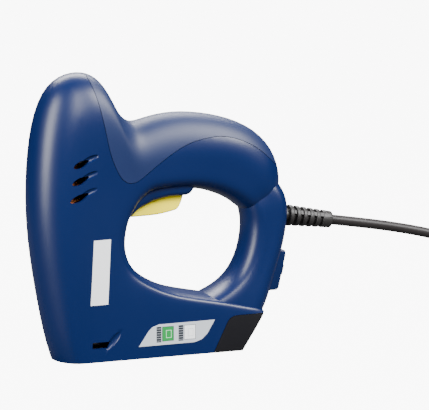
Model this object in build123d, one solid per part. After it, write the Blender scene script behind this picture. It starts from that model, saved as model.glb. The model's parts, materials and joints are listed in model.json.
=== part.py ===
"""Corded electric tacker: two housing halves round a vertical solenoid drive, a staple drawer in the
foot, a trigger in the hand opening and a mains lead with its spare length tied in a hank.

Frame: millimetres, +Z up, -X towards the nose, -Y the left side. The origin is the centre of the
housing's box at the level of the surface that the tool stands on.
"""

from build123d import *
import math
import os

os.makedirs("parts", exist_ok=True)

# ---------------------------------------------------------------- driving sizes
body_length = 183.0
body_height = 190.0
head_width = 46.0
grip_width = 38.0
base_width = 41.0
column_width = 33.6
wall = 2.6

# clearances
joint_gap = 0.4  # between bodies that move past each other
running_gap = 0.08  # radial, shaft in bearing
seam_gap = 0.3  # visible line round a cover or cap
nest_gap = 0.2  # fixed piece in its seat

# drive
plunger_radius = 7.3
coil_radius = 16.6
coil_length = 57.0
flange_thickness = 1.5
frame_plate = 2.0
stroke = 16.0
blade_width = 11.0
blade_thickness = 1.3

# magazine
staple_crown = 11.3
staple_leg = 13.6
staple_wire = 0.75
nose_plate_half = 6.5
nose_plate_thickness = 2.0
nose_high = 40.0
strip_length = 50.0
rail_width = 8.6
sheet = 1.2
drawer_travel = 90.0
pusher_travel = 24.0

# trigger and switch
trigger_width = 16.0
trigger_angle = 7.5
trigger_pin_radius = 2.0
lever_angle = 14.5
power_switch_width = 10.0
power_switch_height = 17.0
rocker_angle = 14.0

# lead
cord_diameter = 7.0
boot_radius = 7.2
boot_tip_radius = 5.7
boot_length = 34.0
cord_drop_angle = 8.6
hank_fold_radius = 21.0
hank_run = 110.0
hank_turns_across = 2
hank_layers = 3

# ---------------------------------------------------------------- frame of reference
drawn_length = 183.0  # the outline points below are drawn on a body of these two sizes
drawn_height = 190.0
hole_front, hole_rear = -28.0, 64.0
hole_floor, hole_roof = 37.5, 109.5
head_half, grip_half = head_width / 2, grip_width / 2
base_half, column_half = base_width / 2, column_width / 2
floor_z = 0.0


def place(x, z):
    """Moves a drawn point to the body's real size: only the hand opening's zone stretches."""
    along = min(1, max(0, (x - hole_front) / (hole_rear - hole_front)))
    up = min(1, max(0, (z - hole_floor) / (hole_roof - hole_floor)))
    return x + (body_length - drawn_length) * (along - 0.5), z + (body_height - drawn_height) * up


def block(x0, x1, y0, y1, z0, z1):
    """A box between two corners."""
    centre = Pos((x0 + x1) / 2, (y0 + y1) / 2, (z0 + z1) / 2)
    return centre * Box(x1 - x0, y1 - y0, z1 - z0)


def rod_y(x, z, radius, y0, y1):
    """A round bar across the tool."""
    return Pos(x, (y0 + y1) / 2, z) * Rot(90, 0, 0) * Cylinder(radius, y1 - y0)


def rod_x(y, z, radius, x0, x1):
    """A round bar along the tool."""
    return Pos((x0 + x1) / 2, y, z) * Rot(0, 90, 0) * Cylinder(radius, x1 - x0)


def rod_z(x, y, radius, z0, z1):
    """A round bar upright."""
    return Pos(x, y, (z0 + z1) / 2) * Cylinder(radius, z1 - z0)


def side_prism(points, half_width):
    """A flat outline in the side view, as thick as twice half_width."""
    face = make_face(Polyline(*[(x, 0, z) for x, z in points], close=True))
    return extrude(face, half_width, dir=(0, 1, 0), both=True)


def save(shape, name):
    """Writes one sub-part."""
    export_step(shape, "parts/" + name + ".step")


# ---------------------------------------------------------------- housing skin
# Each station is a cut from the hand opening's wall to the outer outline: its two ends, its half
# width at each end, and how far from each end the rounding reaches.
ring_stations = [
    ((66, 88), (85, 103), grip_half - 7, grip_half - 6.5, 7, 9),
    ((57, 95.3), (85.7, 112.5), grip_half - 3, grip_half - 2.5, 10, 16),
    ((50, 100.5), (79.6, 129), grip_half - 2, grip_half - 1, 10, 20),
    ((38, 105.5), (63, 146.6), grip_half - 1.5, grip_half - 0.5, 10, 22),
    ((25, 108.8), (38, 157.3), grip_half - 1, grip_half, 9, 24),
    ((8, 108.5), (12, 160), grip_half - 0.5, grip_half, 9, 25),
    ((-7, 107), (-8, 157.4), grip_half, grip_half + 0.5, 10, 24),
    ((-12, 103), (-20, 155.6), grip_half + 0.5, grip_half + 1.5, 10, 23),
    ((-16, 99.5), (-30.3, 164.6), grip_half + 0.5, head_half - 1, 10, 27),
    ((-18.8, 95), (-38.5, 180), grip_half + 0.5, head_half - 0.3, 10, 32),
    ((-21, 91), (-55, 190), grip_half + 0.5, head_half, 10, 36),
    ((-22.6, 86), (-75, 182), grip_half + 0.5, head_half, 10, 36),
    ((-23.5, 80), (-86, 157.5), grip_half + 0.5, head_half, 10, 34),
    ((-23.7, 73), (-90.6, 117), grip_half + 0.5, head_half, 10, 28),
    ((-22.2, 66), (-89.6, 80), grip_half + 0.5, head_half - 0.3, 9, 24),
    ((-18.4, 59), (-81.5, 38), grip_half + 0.5, head_half - 1.2, 9, 20),
    ((-13, 54), (-73.7, 0), base_half - 0.5, base_half, 7, 17),
    ((-6.2, 49.5), (-58, -30), base_half - 0.3, base_half, 6, 10),
    ((6, 43.5), (-12, -34), base_half, base_half, 5, 8),
    ((24, 39.6), (20, -34), base_half, base_half, 5, 8),
    ((42, 36.0), (42, -34), base_half, base_half, 4.5, 8),
    ((60, 31), (60, -34), base_half, base_half, 4, 8),
    ((80, 27.5), (80, -34), base_half, base_half, 4, 8),
]
column_stations = [
    ((58, 105), (78, 121), column_half - 5, column_half - 4, 6, 8),
    ((60.8, 92), (88.6, 104), column_half - 1, column_half - 0.5, 10, 9),
    ((62.6, 84), (91.3, 93.5), column_half - 1, column_half - 0.5, 11, 9),
    ((62, 75), (90.5, 77), column_half - 1, column_half - 0.5, 11, 9),
    ((59.8, 64), (87.5, 61), column_half - 1, column_half, 11, 9),
    ((55, 52.5), (81.5, 42.5), column_half - 0.5, column_half + 0.5, 11, 9),
    ((48, 43.5), (76, 26), column_half + 1.5, column_half + 2.2, 9, 9),
    ((38, 36), (68, 10), column_half + 2.4, column_half + 2.8, 8, 9),
]


def station_wire(station, inset):
    """One closed section of the skin, moved in by inset."""
    inner, outer, half_in, half_out, reach_in, reach_out = station
    near, far = Vector(*place(*inner)), Vector(*place(*outer))
    along = (far - near).normalized()
    length = (far - near).length

    def at(distance, y):
        spot = near + along * distance
        return Vector(spot.X, y, spot.Y)

    first, last = inset, length - inset
    a_in, a_out = first + reach_in, last - reach_out
    w_in, w_out = half_in - inset, half_out - inset
    third = (a_out - a_in) * 0.35

    def flank(side):
        w1, w2 = side * w_in, side * w_out
        nose = Bezier(at(last, 0), at(last, w2 * 0.62), at(a_out + reach_out * 0.45, w2), at(a_out, w2))
        flat = Bezier(at(a_out, w2), at(a_out - third, w2), at(a_in + third, w1), at(a_in, w1))
        heel = Bezier(at(a_in, w1), at(a_in - reach_in * 0.55, w1), at(first, w1 * 0.62), at(first, 0))
        return [nose, flat, heel]

    return Wire(flank(-1) + flank(1))


# foot: flat sole, slanted heel, and the drawer's end cap behind a slanted joint
heel_low, heel_high = place(54.5, 0), place(72.4, 27.2)
cap_front_low, cap_front_high = place(33.9, 0), place(43.8, 20)
cap_roof_front, cap_roof_rear = place(52.2, 24), place(70.6, 24.2)
far_up, far_out = body_height * 2, body_length * 2


def skin(inset):
    """The whole outer form, moved in by inset."""
    ring = Solid.make_loft([station_wire(s, inset) for s in ring_stations], False)
    behind = heel_high[0] + 1.5 - inset
    ring = ring - block(behind, far_out, -far_out, far_out, -far_out, heel_high[1] + 6)
    column = Solid.make_loft([station_wire(s, inset) for s in column_stations], False)
    return ring + column


def foot_cut(inset):
    """What lies outside the sole and the slanted heel, moved in by inset."""
    sole = block(-far_out, far_out, -far_out, far_out, -far_out, floor_z + inset)
    run, rise = heel_high[0] - heel_low[0], heel_high[1] - heel_low[1]
    shift = inset * math.hypot(run, rise) / rise
    heel = side_prism(
        [
            (heel_low[0] - shift - run, -rise),
            (heel_high[0] - shift, heel_high[1]),
            (far_out, heel_high[1]),
            (far_out, -rise),
        ],
        far_out,
    )
    return sole + heel


def cap_zone(grow):
    """The block of space that the drawer's end cap fills, grown by a gap."""
    below = 6
    slope = (cap_front_high[0] - cap_front_low[0]) / (cap_front_high[1] - cap_front_low[1])
    points = [
        (cap_front_low[0] - below * slope - grow, -below),
        (cap_front_high[0] - grow, cap_front_high[1]),
        (cap_roof_front[0] - grow * 0.5, cap_roof_front[1] + grow),
        (far_out, cap_roof_rear[1] + grow),
        (far_out, -below),
    ]
    return side_prism(points, far_out)


outer_skin = skin(0) - foot_cut(0)
inner_skin = skin(wall) - foot_cut(wall)

# guard block on the rear column, round the power switch
guard_top, guard_low = place(91.0, 63.5), place(84.6, 36.5)
guard_half = 8.0
guard_root = 12.0
guard = side_prism(
    [
        (guard_top[0] - guard_root, guard_top[1] + 1),
        (guard_top[0], guard_top[1]),
        (guard_top[0] + 0.3, guard_top[1] - 3),
        (guard_low[0] + 1.6, guard_low[1] + 1.5),
        (guard_low[0], guard_low[1]),
        (guard_low[0] - guard_root, guard_low[1]),
    ],
    guard_half,
)
guard = fillet(guard.edges().filter_by(lambda e: abs(e.center().Y) > guard_half - 0.1), 1.2)

# cheeks beside the trigger, down to the rim of its pocket
cheek_half = grip_half - 6.5
cheek_points = [(-26, 87), (-22, 93), (-15, 99.5), (-6, 104), (6, 106), (18, 106.4)]
cheek_points += [(21.3, 106.8), (24, 110.5), (24, 116), (-10, 116), (-30, 100)]
cheeks = side_prism([place(*p) for p in cheek_points], cheek_half)
cheek_edges = cheeks.edges().filter_by(lambda e: abs(e.center().Y) > cheek_half - 0.1)
cheeks = fillet(cheek_edges, 3.0) & (outer_skin + side_prism([place(*p) for p in cheek_points], cheek_half))

# ---------------------------------------------------------------- screw posts
def half_width_at(x, z):
    """How far the right half's skin stands out at a screw post."""
    bar = rod_y(x, z, 0.5, 0, head_half + 5) & outer_skin
    return bar.bounding_box().max.Y


post_radius = 5.2
screw_radius = 1.5
screw_head_radius = 3.0
screw_head_depth = 8.0
post_spots = [(-63, 176), (-48.5, 150), (-49, 58), (-54, 31), (10, 31), (24, 120), (75, 104), (68, 38)]
post_spots = [place(*p) for p in post_spots]
posts = Part() + [rod_y(x, z, post_radius, -head_half, head_half) for x, z in post_spots]

form = outer_skin + guard + cheeks
housing = form - (inner_skin - posts)

# grip cover: the upper skin over the grip and up the back of the head
cover_line = [(-49.8, 189), (-45.4, 170), (-41.7, 152.5), (-38, 136.5), (-33.6, 125.4), (-27.2, 118)]
cover_line += [(-23.4, 116.8), (-12.7, 121.6), (-0.7, 130.4), (12, 138.3), (23, 142.8), (41.3, 146)]
cover_line += [(60, 143.4), (75, 136.5)]
cover_line = [place(*p) for p in cover_line]
cover_start = (cover_line[0][0] - 1.5, body_height + 10)
cover_end = (cover_line[-1][0] + 14, cover_line[-1][1] - 8)


def cover_zone(lower):
    """Everything above the cover's lower line, moved down by a gap."""
    line = [Vector(*p) for p in [cover_start] + cover_line + [cover_end]]
    moved = []
    for before, here, after in zip(line[:1] + line, line, line[1:] + line[-1:]):
        run = (after - before).normalized()
        moved.append((here.X + run.Y * lower, 0, here.Y - run.X * lower))
    edge = Spline(*moved)
    back = Polyline(moved[-1], (far_out, 0, far_up), (moved[0][0], 0, far_up), moved[0])
    return extrude(make_face([edge, back]), far_out, dir=(0, 1, 0), both=True)


grip_cover = (outer_skin - inner_skin) & cover_zone(0)
housing = housing - cover_zone(seam_gap)

# ---------------------------------------------------------------- layout of the inner pieces
drive_x, coil_low = place(-66, 72)
blade_front = drive_x - blade_thickness / 2
blade_back = drive_x + blade_thickness / 2
coil_high = coil_low + coil_length + 2 * flange_thickness
nose_plate_front = blade_front - joint_gap - nose_plate_thickness
channel_half = staple_crown / 2 + 1.2 + sheet
channel_high = staple_leg + 4.4
channel_front = blade_back + joint_gap
channel_rear = cap_front_low[0] - 2.9
trigger_x, trigger_z = place(-17.5, 101.5)
trigger_half = trigger_width / 2
cord_x, cord_z = place(91.0, 86.6)
drop = math.radians(cord_drop_angle)

# ---------------------------------------------------------------- openings in the housing
slot_half, slot_high = channel_half + nest_gap, channel_high + nest_gap
channel_slot = block(channel_front - nest_gap, channel_rear + 12, -slot_half, slot_half, -1, slot_high)
nose_slot_half = nose_plate_half + nest_gap
blade_slot_front, blade_slot_high = nose_plate_front - nest_gap, nose_high + nest_gap
blade_slot = block(blade_slot_front, channel_front, -nose_slot_half, nose_slot_half, -1, blade_slot_high)
pocket_points = [(-26, 86), (-24, 104), (-14, 111), (20.2, 113), (20.2, 100), (0, 88)]
pocket = side_prism([place(*p) for p in pocket_points], trigger_half + joint_gap)
pin_seat = rod_y(trigger_x, trigger_z, trigger_pin_radius + nest_gap / 4, -cheek_half + 1.4, cheek_half - 1.4)
nose_slot_x, nose_slot_z = place(-44.6, 11.2)
slot_reach, slot_rise = 6.3, 2.2
slot_low, slot_top = nose_slot_z - slot_rise, nose_slot_z + slot_rise
nose_slot = block(nose_slot_x - slot_reach, nose_slot_x + slot_reach, -far_out, far_out, slot_low, slot_top)
nose_slot = fillet(nose_slot.edges().filter_by(Axis.Y), 1.5)
slot_floor = base_half - wall - 2
nose_slot = nose_slot - block(-far_out, far_out, -slot_floor, slot_floor, -far_out, far_out)


def vent(x, z, length):
    """One leaf-shaped vent through both sides of the head."""
    leaf = extrude(Plane.XZ * Pos(x, z, 0) * Rot(0, 0, 22) * Ellipse(length / 2, 2.1), far_out, both=True)
    return leaf


vent_spots = [(-56.5, 130.5, 14), (-57, 119.8, 15), (-58, 108.8, 17)]
vents = Part() + [vent(*place(x, z), size) for x, z, size in vent_spots]
vents = vents - block(-far_out, far_out, -head_half + wall + 3, head_half - wall - 3, -far_out, far_out)

boot_axis = Plane(origin=(cord_x, 0, cord_z), x_dir=(0, 1, 0), z_dir=(math.cos(drop), 0, -math.sin(drop)))
boot_seat_radius = boot_radius - 1.6
boot_hole = boot_axis * Pos(0, 0, -10) * Cylinder(boot_seat_radius + nest_gap, 24)

switch_tilt = math.atan2(guard_top[0] - guard_low[0], guard_top[1] - guard_low[1])
switch_face = Plane(
    origin=((guard_top[0] + guard_low[0]) / 2 + 0.8, 0, (guard_top[1] + guard_low[1]) / 2),
    x_dir=(0, 1, 0),
    z_dir=(math.cos(switch_tilt), 0, -math.sin(switch_tilt)),
)
switch_depth = 14.0
switch_sunk = 2.4
switch_hole = switch_face * Pos(0, 0, -8) * Box(
    power_switch_width + 2 * nest_gap, power_switch_height + 2 * nest_gap, 20
)

screw_length = 16.0
head_seats = Part()
screw_holes = Part()
seat_level = []
for x, z in post_spots:
    level = half_width_at(x, z) - screw_head_depth
    seat_level.append(level)
    head_seats += rod_y(x, z, screw_head_radius + joint_gap, level, head_half + 6)
    screw_holes += rod_y(x, z, screw_radius + nest_gap / 2, level - screw_length - 1, level + 1)

housing = housing - cap_zone(seam_gap) - channel_slot - blade_slot - pocket - pin_seat - nose_slot - vents
housing = housing - boot_hole - switch_hole - head_seats - screw_holes

# wall behind the end cap, with a passage for the drawer
bulkhead = (cap_zone(seam_gap + wall) - cap_zone(seam_gap)) & inner_skin
room_half = slot_half + nest_gap
bulkhead = bulkhead - channel_slot - block(0, far_out, -room_half, room_half, -1, slot_high)
housing = housing + bulkhead
housing = housing.solids().sort_by(SortBy.VOLUME)[-1]

half_space = block(-far_out, far_out, 0, far_out, -far_out, far_up)
right_shell = (housing & half_space).solids().sort_by(SortBy.VOLUME)[-1]
left_shell = (housing - half_space).solids().sort_by(SortBy.VOLUME)[-1]
save(left_shell, "left_shell")
save(right_shell, "right_shell")
save(grip_cover.solids().sort_by(SortBy.VOLUME)[-1], "grip_cover")

# ---------------------------------------------------------------- screws
screws = Part()
for (x, z), level in zip(post_spots, seat_level):
    screw = rod_y(x, z, screw_head_radius, level + 0.02, level + 2.4)
    screw += rod_y(x, z, screw_radius, level - screw_length, level + 1)
    drive = block(x - 0.5, x + 0.5, level + 1.2, level + 3, z - 2, z + 2)
    drive += block(x - 2, x + 2, level + 1.2, level + 3, z - 0.5, z + 0.5)
    screws += screw - drive
save(screws, "housing_screws")

# ---------------------------------------------------------------- solenoid
flange_radius = coil_radius + 1.0
core_radius = plunger_radius + 1.3
plate_hole = plunger_radius + 0.9
frame_half = 12.0
frame_front, frame_back = drive_x - 14, drive_x + flange_radius + 1
frame_low, frame_high = coil_low - frame_plate, coil_high + frame_plate
solenoid_frame = block(frame_back, frame_back + frame_plate, -frame_half, frame_half, frame_low, frame_high)
for low in (frame_low, coil_high):
    solenoid_frame += block(frame_front, frame_back, -frame_half, frame_half, low, low + frame_plate)
solenoid_frame -= rod_z(drive_x, 0, plate_hole, frame_low - 1, frame_high + 1)
save(solenoid_frame, "solenoid_frame")

bobbin = rod_z(drive_x, 0, core_radius, coil_low, coil_high)
for low in (coil_low, coil_high - flange_thickness):
    bobbin += rod_z(drive_x, 0, flange_radius, low, low + flange_thickness)
save(bobbin - rod_z(drive_x, 0, plunger_radius + running_gap, coil_low - 1, coil_high + 1), "solenoid_bobbin")
winding_low, winding_high = coil_low + flange_thickness, coil_high - flange_thickness
winding = rod_z(drive_x, 0, coil_radius, winding_low, winding_high)
winding -= rod_z(drive_x, 0, core_radius, winding_low - 1, winding_high + 1)
save(winding, "coil_winding")

# ---------------------------------------------------------------- plunger, blade and their stops
plunger_low = coil_low + 14
plunger_high = frame_high + stroke + 8
collar_radius, collar_height = 10.5, 2.5
pin_radius = 2.0
pin_level = plunger_low + 5
blade_tip = staple_leg + 2.9
fork_half = blade_thickness / 2 + nest_gap
plunger = rod_z(drive_x, 0, plunger_radius, plunger_low, plunger_high)
fork_front, fork_back = drive_x - fork_half, drive_x + fork_half
plunger -= block(fork_front, fork_back, -plunger_radius, plunger_radius, plunger_low - 1, pin_level + 5)
pin_span = plunger_radius - 0.6
pin_bar = Pos(drive_x, 0, pin_level) * Rot(0, 90, 0) * Cylinder(pin_radius, 2 * pin_span)
pin_room = Pos(drive_x, 0, pin_level) * Rot(0, 90, 0) * Cylinder(pin_radius + 0.03, 40)
neck_radius = 4.0
plunger += rod_z(drive_x, 0, neck_radius, plunger_high, plunger_high + collar_height + 1)
save(plunger - pin_room, "plunger")
save(pin_bar, "blade_pin")
blade = block(blade_front, blade_back, -blade_width / 2, blade_width / 2, blade_tip, pin_level + 4.5)
save(blade - pin_room, "driver_blade")
collar = rod_z(drive_x, 0, collar_radius, plunger_high, plunger_high + collar_height)
save(collar - rod_z(drive_x, 0, neck_radius, 0, far_up), "spring_collar")

bumper_high = plunger_low - stroke - joint_gap
bumper_low = bumper_high - 7
bottom_bumper = block(drive_x - 9, drive_x + 9, -9, 9, bumper_low, bumper_high)
bottom_bumper -= block(drive_x - 1.6, drive_x + 1.6, -blade_width / 2 - 0.8, blade_width / 2 + 0.8, 0, far_up)
save(fillet(bottom_bumper.edges().filter_by(Axis.Z).group_by(Axis.X)[-1], 2), "bottom_bumper")
collar_top = plunger_high + collar_height
top_bumper = rod_z(drive_x, 0, 8, collar_top + 1 + joint_gap, collar_top + 7.5)
save(top_bumper, "top_bumper")

# carrier that holds both bumpers and the frame between the housing halves
carrier = block(drive_x - 10.5, drive_x + 10.5, -12, 12, bumper_low - 2, bumper_low)
carrier -= block(drive_x - 1.6, drive_x + 1.6, -blade_width / 2 - 0.8, blade_width / 2 + 0.8, 0, far_up)
save(carrier, "bumper_plate")


def coil_spring(mean_radius, wire_radius, low, high, turns):
    """A compression spring that stands on the XY plane at low."""
    length = high - low - 2 * wire_radius
    path = Helix(length / turns, length, mean_radius)
    section = Plane(origin=path @ 0, z_dir=path % 0) * Circle(wire_radius)
    return Pos(0, 0, low + wire_radius) * sweep(section, path, is_frenet=True)


spring_low, spring_high = frame_high + 0.05, plunger_high - 0.05
save(Pos(drive_x, 0, 0) * coil_spring(9.0, 0.7, spring_low, spring_high, 5), "return_spring")

# ---------------------------------------------------------------- nose and magazine
nose_plate = block(nose_plate_front, blade_front - joint_gap, -nose_plate_half, nose_plate_half, 0, nose_high)
save(nose_plate, "nose_plate")


def arch(half, low, high, thickness, x0, x1):
    """An upside-down U of sheet metal along the tool."""
    outside = block(x0, x1, -half, half, low, high)
    return outside - block(x0 - 1, x1 + 1, -half + thickness, half - thickness, low - 1, high - thickness)


save(arch(channel_half, 0, channel_high, sheet, channel_front, channel_rear), "magazine_channel")
rail_half = rail_width / 2
crown_top = staple_leg + 0.7
rail_low, rail_high = 1.6, crown_top - staple_wire - joint_gap
rail_wall = 1.0
rail_front = channel_front + 0.4
cap_inner = cap_front_high[0] + wall + 2
rail_rear = cap_inner - 1.0
rail = arch(rail_half, rail_low, rail_high, rail_wall, rail_front, rail_rear)
web_half, web_high = rail_half - rail_wall, rail_high - rail_wall
rail += block(rail_front, rail_front + sheet, -web_half, web_half, rail_low + 1.0, web_high)
rod_level, rod_radius = 7.4, 0.9
rail -= rod_x(0, rod_level, rod_radius + 0.05, rail_front - 1, rail_front + 2)
save(rail, "drawer_rail")
strip_front = rail_front
strip_rear = strip_front + strip_length
strip_half = staple_crown / 2
strip = arch(strip_half, crown_top - staple_leg, crown_top, staple_wire, strip_front, strip_rear)
save(strip, "staple_strip")
save(rod_x(0, rod_level, rod_radius, rail_front, cap_inner + 2), "pusher_rod")

pusher_length = 12.0
pusher_front = strip_rear + 0.1
pusher_rear = pusher_front + pusher_length
pusher = block(pusher_front, pusher_rear, -strip_half, strip_half, 0.5, crown_top + 1)
saddle_low, saddle_high, saddle_wall = rail_low - joint_gap, rail_high + joint_gap, rail_wall + 2 * joint_gap
pusher -= arch(rail_half + joint_gap, saddle_low, saddle_high, saddle_wall, pusher_front - 1, pusher_rear + 1)
pusher -= rod_x(0, rod_level, rod_radius + running_gap, pusher_front - 1, pusher_rear + 1)
save(pusher, "pusher")
pusher_spring = coil_spring(2.0, 0.3, pusher_rear + 0.05, cap_inner - 0.1, 14)
save(Pos(0, 0, rod_level) * Rot(0, 90, 0) * pusher_spring, "pusher_spring")

# end cap of the drawer: the housing's own foot form, cut along the slanted joint
cap = outer_skin & cap_zone(0)
cap = cap.solids().sort_by(SortBy.VOLUME)[-1]
cap_room = inner_skin & cap_zone(-wall)
cap = cap - cap_room
tie = block(cap_front_low[0] - 4, cap_inner + 3, -web_half, web_half, 2.2, web_high)
tie = tie & outer_skin & cap_zone(0)
grip = 0.05  # the rail's seat in the cap
seat_low, seat_high, seat_wall = rail_low - grip, rail_high + grip, rail_wall + 2 * grip
cap = cap + tie - arch(rail_half + grip, seat_low, seat_high, seat_wall, rail_front, rail_rear + grip)
cap -= rod_x(0, rod_level, 2.6, cap_front_low[0] - 10, cap_inner)
cap -= rod_x(0, rod_level, rod_radius + 0.02, cap_inner - 1, cap_inner + 2.02)
heel_slope = math.atan2(heel_high[0] - heel_low[0], heel_high[1] - heel_low[1])
button_plane = Plane(
    origin=((heel_low[0] + heel_high[0]) / 2 - 0.6, 0, (heel_low[1] + heel_high[1]) / 2),
    x_dir=(0, 1, 0),
    z_dir=(math.cos(heel_slope), 0, -math.sin(heel_slope)),
)
button_width, button_height, button_travel = 14.0, 9.0, 1.5
button_drift = button_travel * math.sin(heel_slope)  # the button moves level, its hole is slanted
hole_size = (button_width + 2 * joint_gap, button_height + 2 * (joint_gap + button_drift), 12)
button_hole = button_plane * Pos(0, 0, -3) * Box(*hole_size)
cap -= button_hole
save(cap.solids().sort_by(SortBy.VOLUME)[-1], "magazine_end_cap")
button = button_plane * Pos(0, 0, -1.6) * Box(button_width, button_height, 5.6)
button = fillet(button.edges().group_by(Axis.X)[-1], 0.8)
save(button, "latch_button")

# ---------------------------------------------------------------- trigger
blade_points = [(-21.4, 99), (-19.2, 93), (-12, 92.4), (-0.6, 92.8), (9, 94.8), (14.5, 96)]
blade_points += [(17, 100), (17.6, 105.5), (15.5, 106.6), (-9, 106.6), (-15, 105.6), (-20, 104)]
trigger = side_prism([place(*p) for p in blade_points], trigger_half)
rims = trigger.edges().filter_by(lambda e: abs(e.center().Y) > trigger_half - 0.1)
trigger = fillet(rims.filter_by(lambda e: e.center().Z < trigger_z + 1.5), 1.4)
striker_x = trigger_x + 26
striker_top = trigger_z + 8.4
trigger += block(striker_x - 2, striker_x + 2, -2.5, 2.5, trigger_z + 2, striker_top)
trigger -= rod_y(trigger_x, trigger_z, trigger_pin_radius + running_gap, -far_out, far_out)
save(trigger, "trigger")
trigger_pin = rod_y(trigger_x, trigger_z, trigger_pin_radius, -cheek_half + 1.6, cheek_half - 1.6)
save(trigger_pin, "trigger_pin")

# ---------------------------------------------------------------- microswitch over the trigger
rise = math.tan(math.radians(trigger_angle)) * (striker_x - trigger_x)
lever_reach = rise / math.tan(math.radians(lever_angle))
hinge_x = striker_x - lever_reach
lever_thickness = 0.5
lever_contact = striker_top + joint_gap
hinge_z = lever_contact + rise + 1.2
switch_body = block(hinge_x - 1, hinge_x + 20, -3.2, 3.2, hinge_z + 1.4, hinge_z + 11.6)
switch_body += block(hinge_x - 1, hinge_x + 0.9, 1.2, 2.4, hinge_z - 1.3, hinge_z + 1.5)
switch_body += block(hinge_x - 1, hinge_x + 0.9, -2.4, -1.2, hinge_z - 1.3, hinge_z + 1.5)
spring_shelf = hinge_z + 2.0
switch_body += block(hinge_x - 9, hinge_x - 1, -3.2, 3.2, spring_shelf, spring_shelf + 2)
hinge_hole = rod_y(hinge_x, hinge_z, 0.5, -2.5, 2.5)
save(fillet(switch_body.edges().filter_by(Axis.Y).group_by(Axis.Z)[-1], 0.8) - hinge_hole, "microswitch")
lever = block(hinge_x + 0.55, hinge_x + 19, -1.0 + 0.2, 0.8, -lever_thickness / 2, lever_thickness / 2)
lever = Pos(0, 0, hinge_z) * lever + rod_y(hinge_x, hinge_z, 0.45, -2.3, 2.3)
lever += rod_y(hinge_x, hinge_z, 0.7, -0.8, 0.8)
lever = lever.rotate(Axis((hinge_x, 0, hinge_z), (0, 1, 0)), lever_angle)
save(lever, "microswitch_lever")
trigger_top = place(0, 106.6)[1]
trigger_spring = coil_spring(2.2, 0.35, trigger_top + 0.05, spring_shelf - 0.05, 4)
save(Pos(hinge_x - 5.5, 0, 0) * trigger_spring, "trigger_spring")

# ---------------------------------------------------------------- circuit board in the grip
board_low = place(0, 136)[1]
board_front, board_rear = place(-4, 0)[0], place(46, 0)[0]
board_half = 11.0
board = block(board_front, board_rear, -board_half, board_half, board_low, board_low + 1.6)
save(board, "circuit_board")
top = board_low + 1.6
capacitor = rod_x(-3.5, top + 5.0, 5.0, board_front + 4, board_front + 22)
save(fillet(capacitor.edges(), 0.6), "capacitor")
thyristor = block(board_front + 27, board_front + 37, 1, 5.4, top, top + 9)
save(thyristor, "power_thyristor")
sink = block(board_front + 25, board_front + 39, 5.4, 6.9, top, top + 11)
for step in range(4):
    sink += block(board_front + 25 + step * 4, board_front + 26.2 + step * 4, 6.9, 9.6, top, top + 11)
save(sink, "heat_sink")
terminals = block(board_rear - 9, board_rear - 1, -9, 9, board_low - 8, board_low)
for step in range(4):
    terminals -= Pos(board_rear - 5, -6.6 + step * 4.4, board_low - 8) * Cylinder(1.4, 6)
save(terminals, "terminal_block")

# ---------------------------------------------------------------- power switch in the rear guard
switch_case = Box(power_switch_width, power_switch_height, switch_depth)
switch_case = switch_face * Pos(0, 0, -switch_sunk - switch_depth / 2) * switch_case
rocker_radius = 9.0
rocker_seat = switch_face * Pos(0, 0, -switch_sunk) * Rot(90, 0, 90)
rocker_room = rocker_seat * Cylinder(rocker_radius - 1.2, power_switch_width - 2.4)
save(switch_case - rocker_room, "power_switch")
rocker = rocker_seat * Cylinder(rocker_radius - 1.2 - joint_gap, power_switch_width - 3.4)
rocker = rocker & (switch_face * Pos(0, 0, -switch_sunk + 1.5) * Box(power_switch_width, 20, 5.4))
save(rocker, "rocker")
rocker_centre = switch_face * Pos(0, 0, -switch_sunk)
print("rocker axis", rocker_centre.position)

latch_spring = coil_spring(1.8, 0.3, cap_inner + 3.05, cap_inner + 7.6, 4)
save(Pos(0, 0, rod_level + 1.5) * Rot(0, 90, 0) * latch_spring, "latch_spring")

# ---------------------------------------------------------------- thin plates on the left side
plate_points = [place(*p) for p in [(-52.2, 38), (-40.0, 38), (-37.6, 80.5), (-49.6, 80.5)]]
label_points = [(-19, 8.3), (-12.2, 18.1), (-9.5, 20.7), (-4.8, 22.2)]
label_points += [(34.4, 22.5), (29.1, 13.7), (25.2, 10.1), (20.1, 8.5)]
label_points = [place(*p) for p in label_points]
film = 0.3
film_loft = Solid.make_loft([station_wire(s, -film) for s in ring_stations], False)
left_side = block(-far_out, far_out, -head_half - 2, -base_half / 2, -far_out, far_up)
for name, points in (("side_plate", plate_points), ("staple_label", label_points)):
    patch = film_loft & (side_prism(points, head_half + 2) & left_side)
    save((patch - outer_skin).solids().sort_by(SortBy.VOLUME)[-1], name)

# ---------------------------------------------------------------- strain relief, jacket and clamp
cord_radius = cord_diameter / 2
boot_start = 1.7
boot_flange = 2.0
profile = Cone(boot_radius, boot_tip_radius, boot_length - boot_start)
boot = Pos(0, 0, (boot_length + boot_start) / 2) * profile
flange_face = -wall - 1.2
boot += Pos(0, 0, (boot_start + flange_face) / 2) * Cylinder(boot_seat_radius, boot_start - flange_face + 0.4)
boot += Pos(0, 0, flange_face - boot_flange / 2) * Cylinder(boot_radius, boot_flange)
groove_pitch, groove_width, groove_count = 5.0, 2.0, 6
for step in range(groove_count):
    level = boot_start + 3.2 + step * groove_pitch
    ring = Cylinder(boot_radius + 1, groove_width) - Cylinder(boot_tip_radius - 1.4, groove_width)
    ring -= Box(40, 3.2, groove_width)
    boot -= Pos(0, 0, level) * ring
save(boot_axis * boot, "strain_relief")

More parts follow.
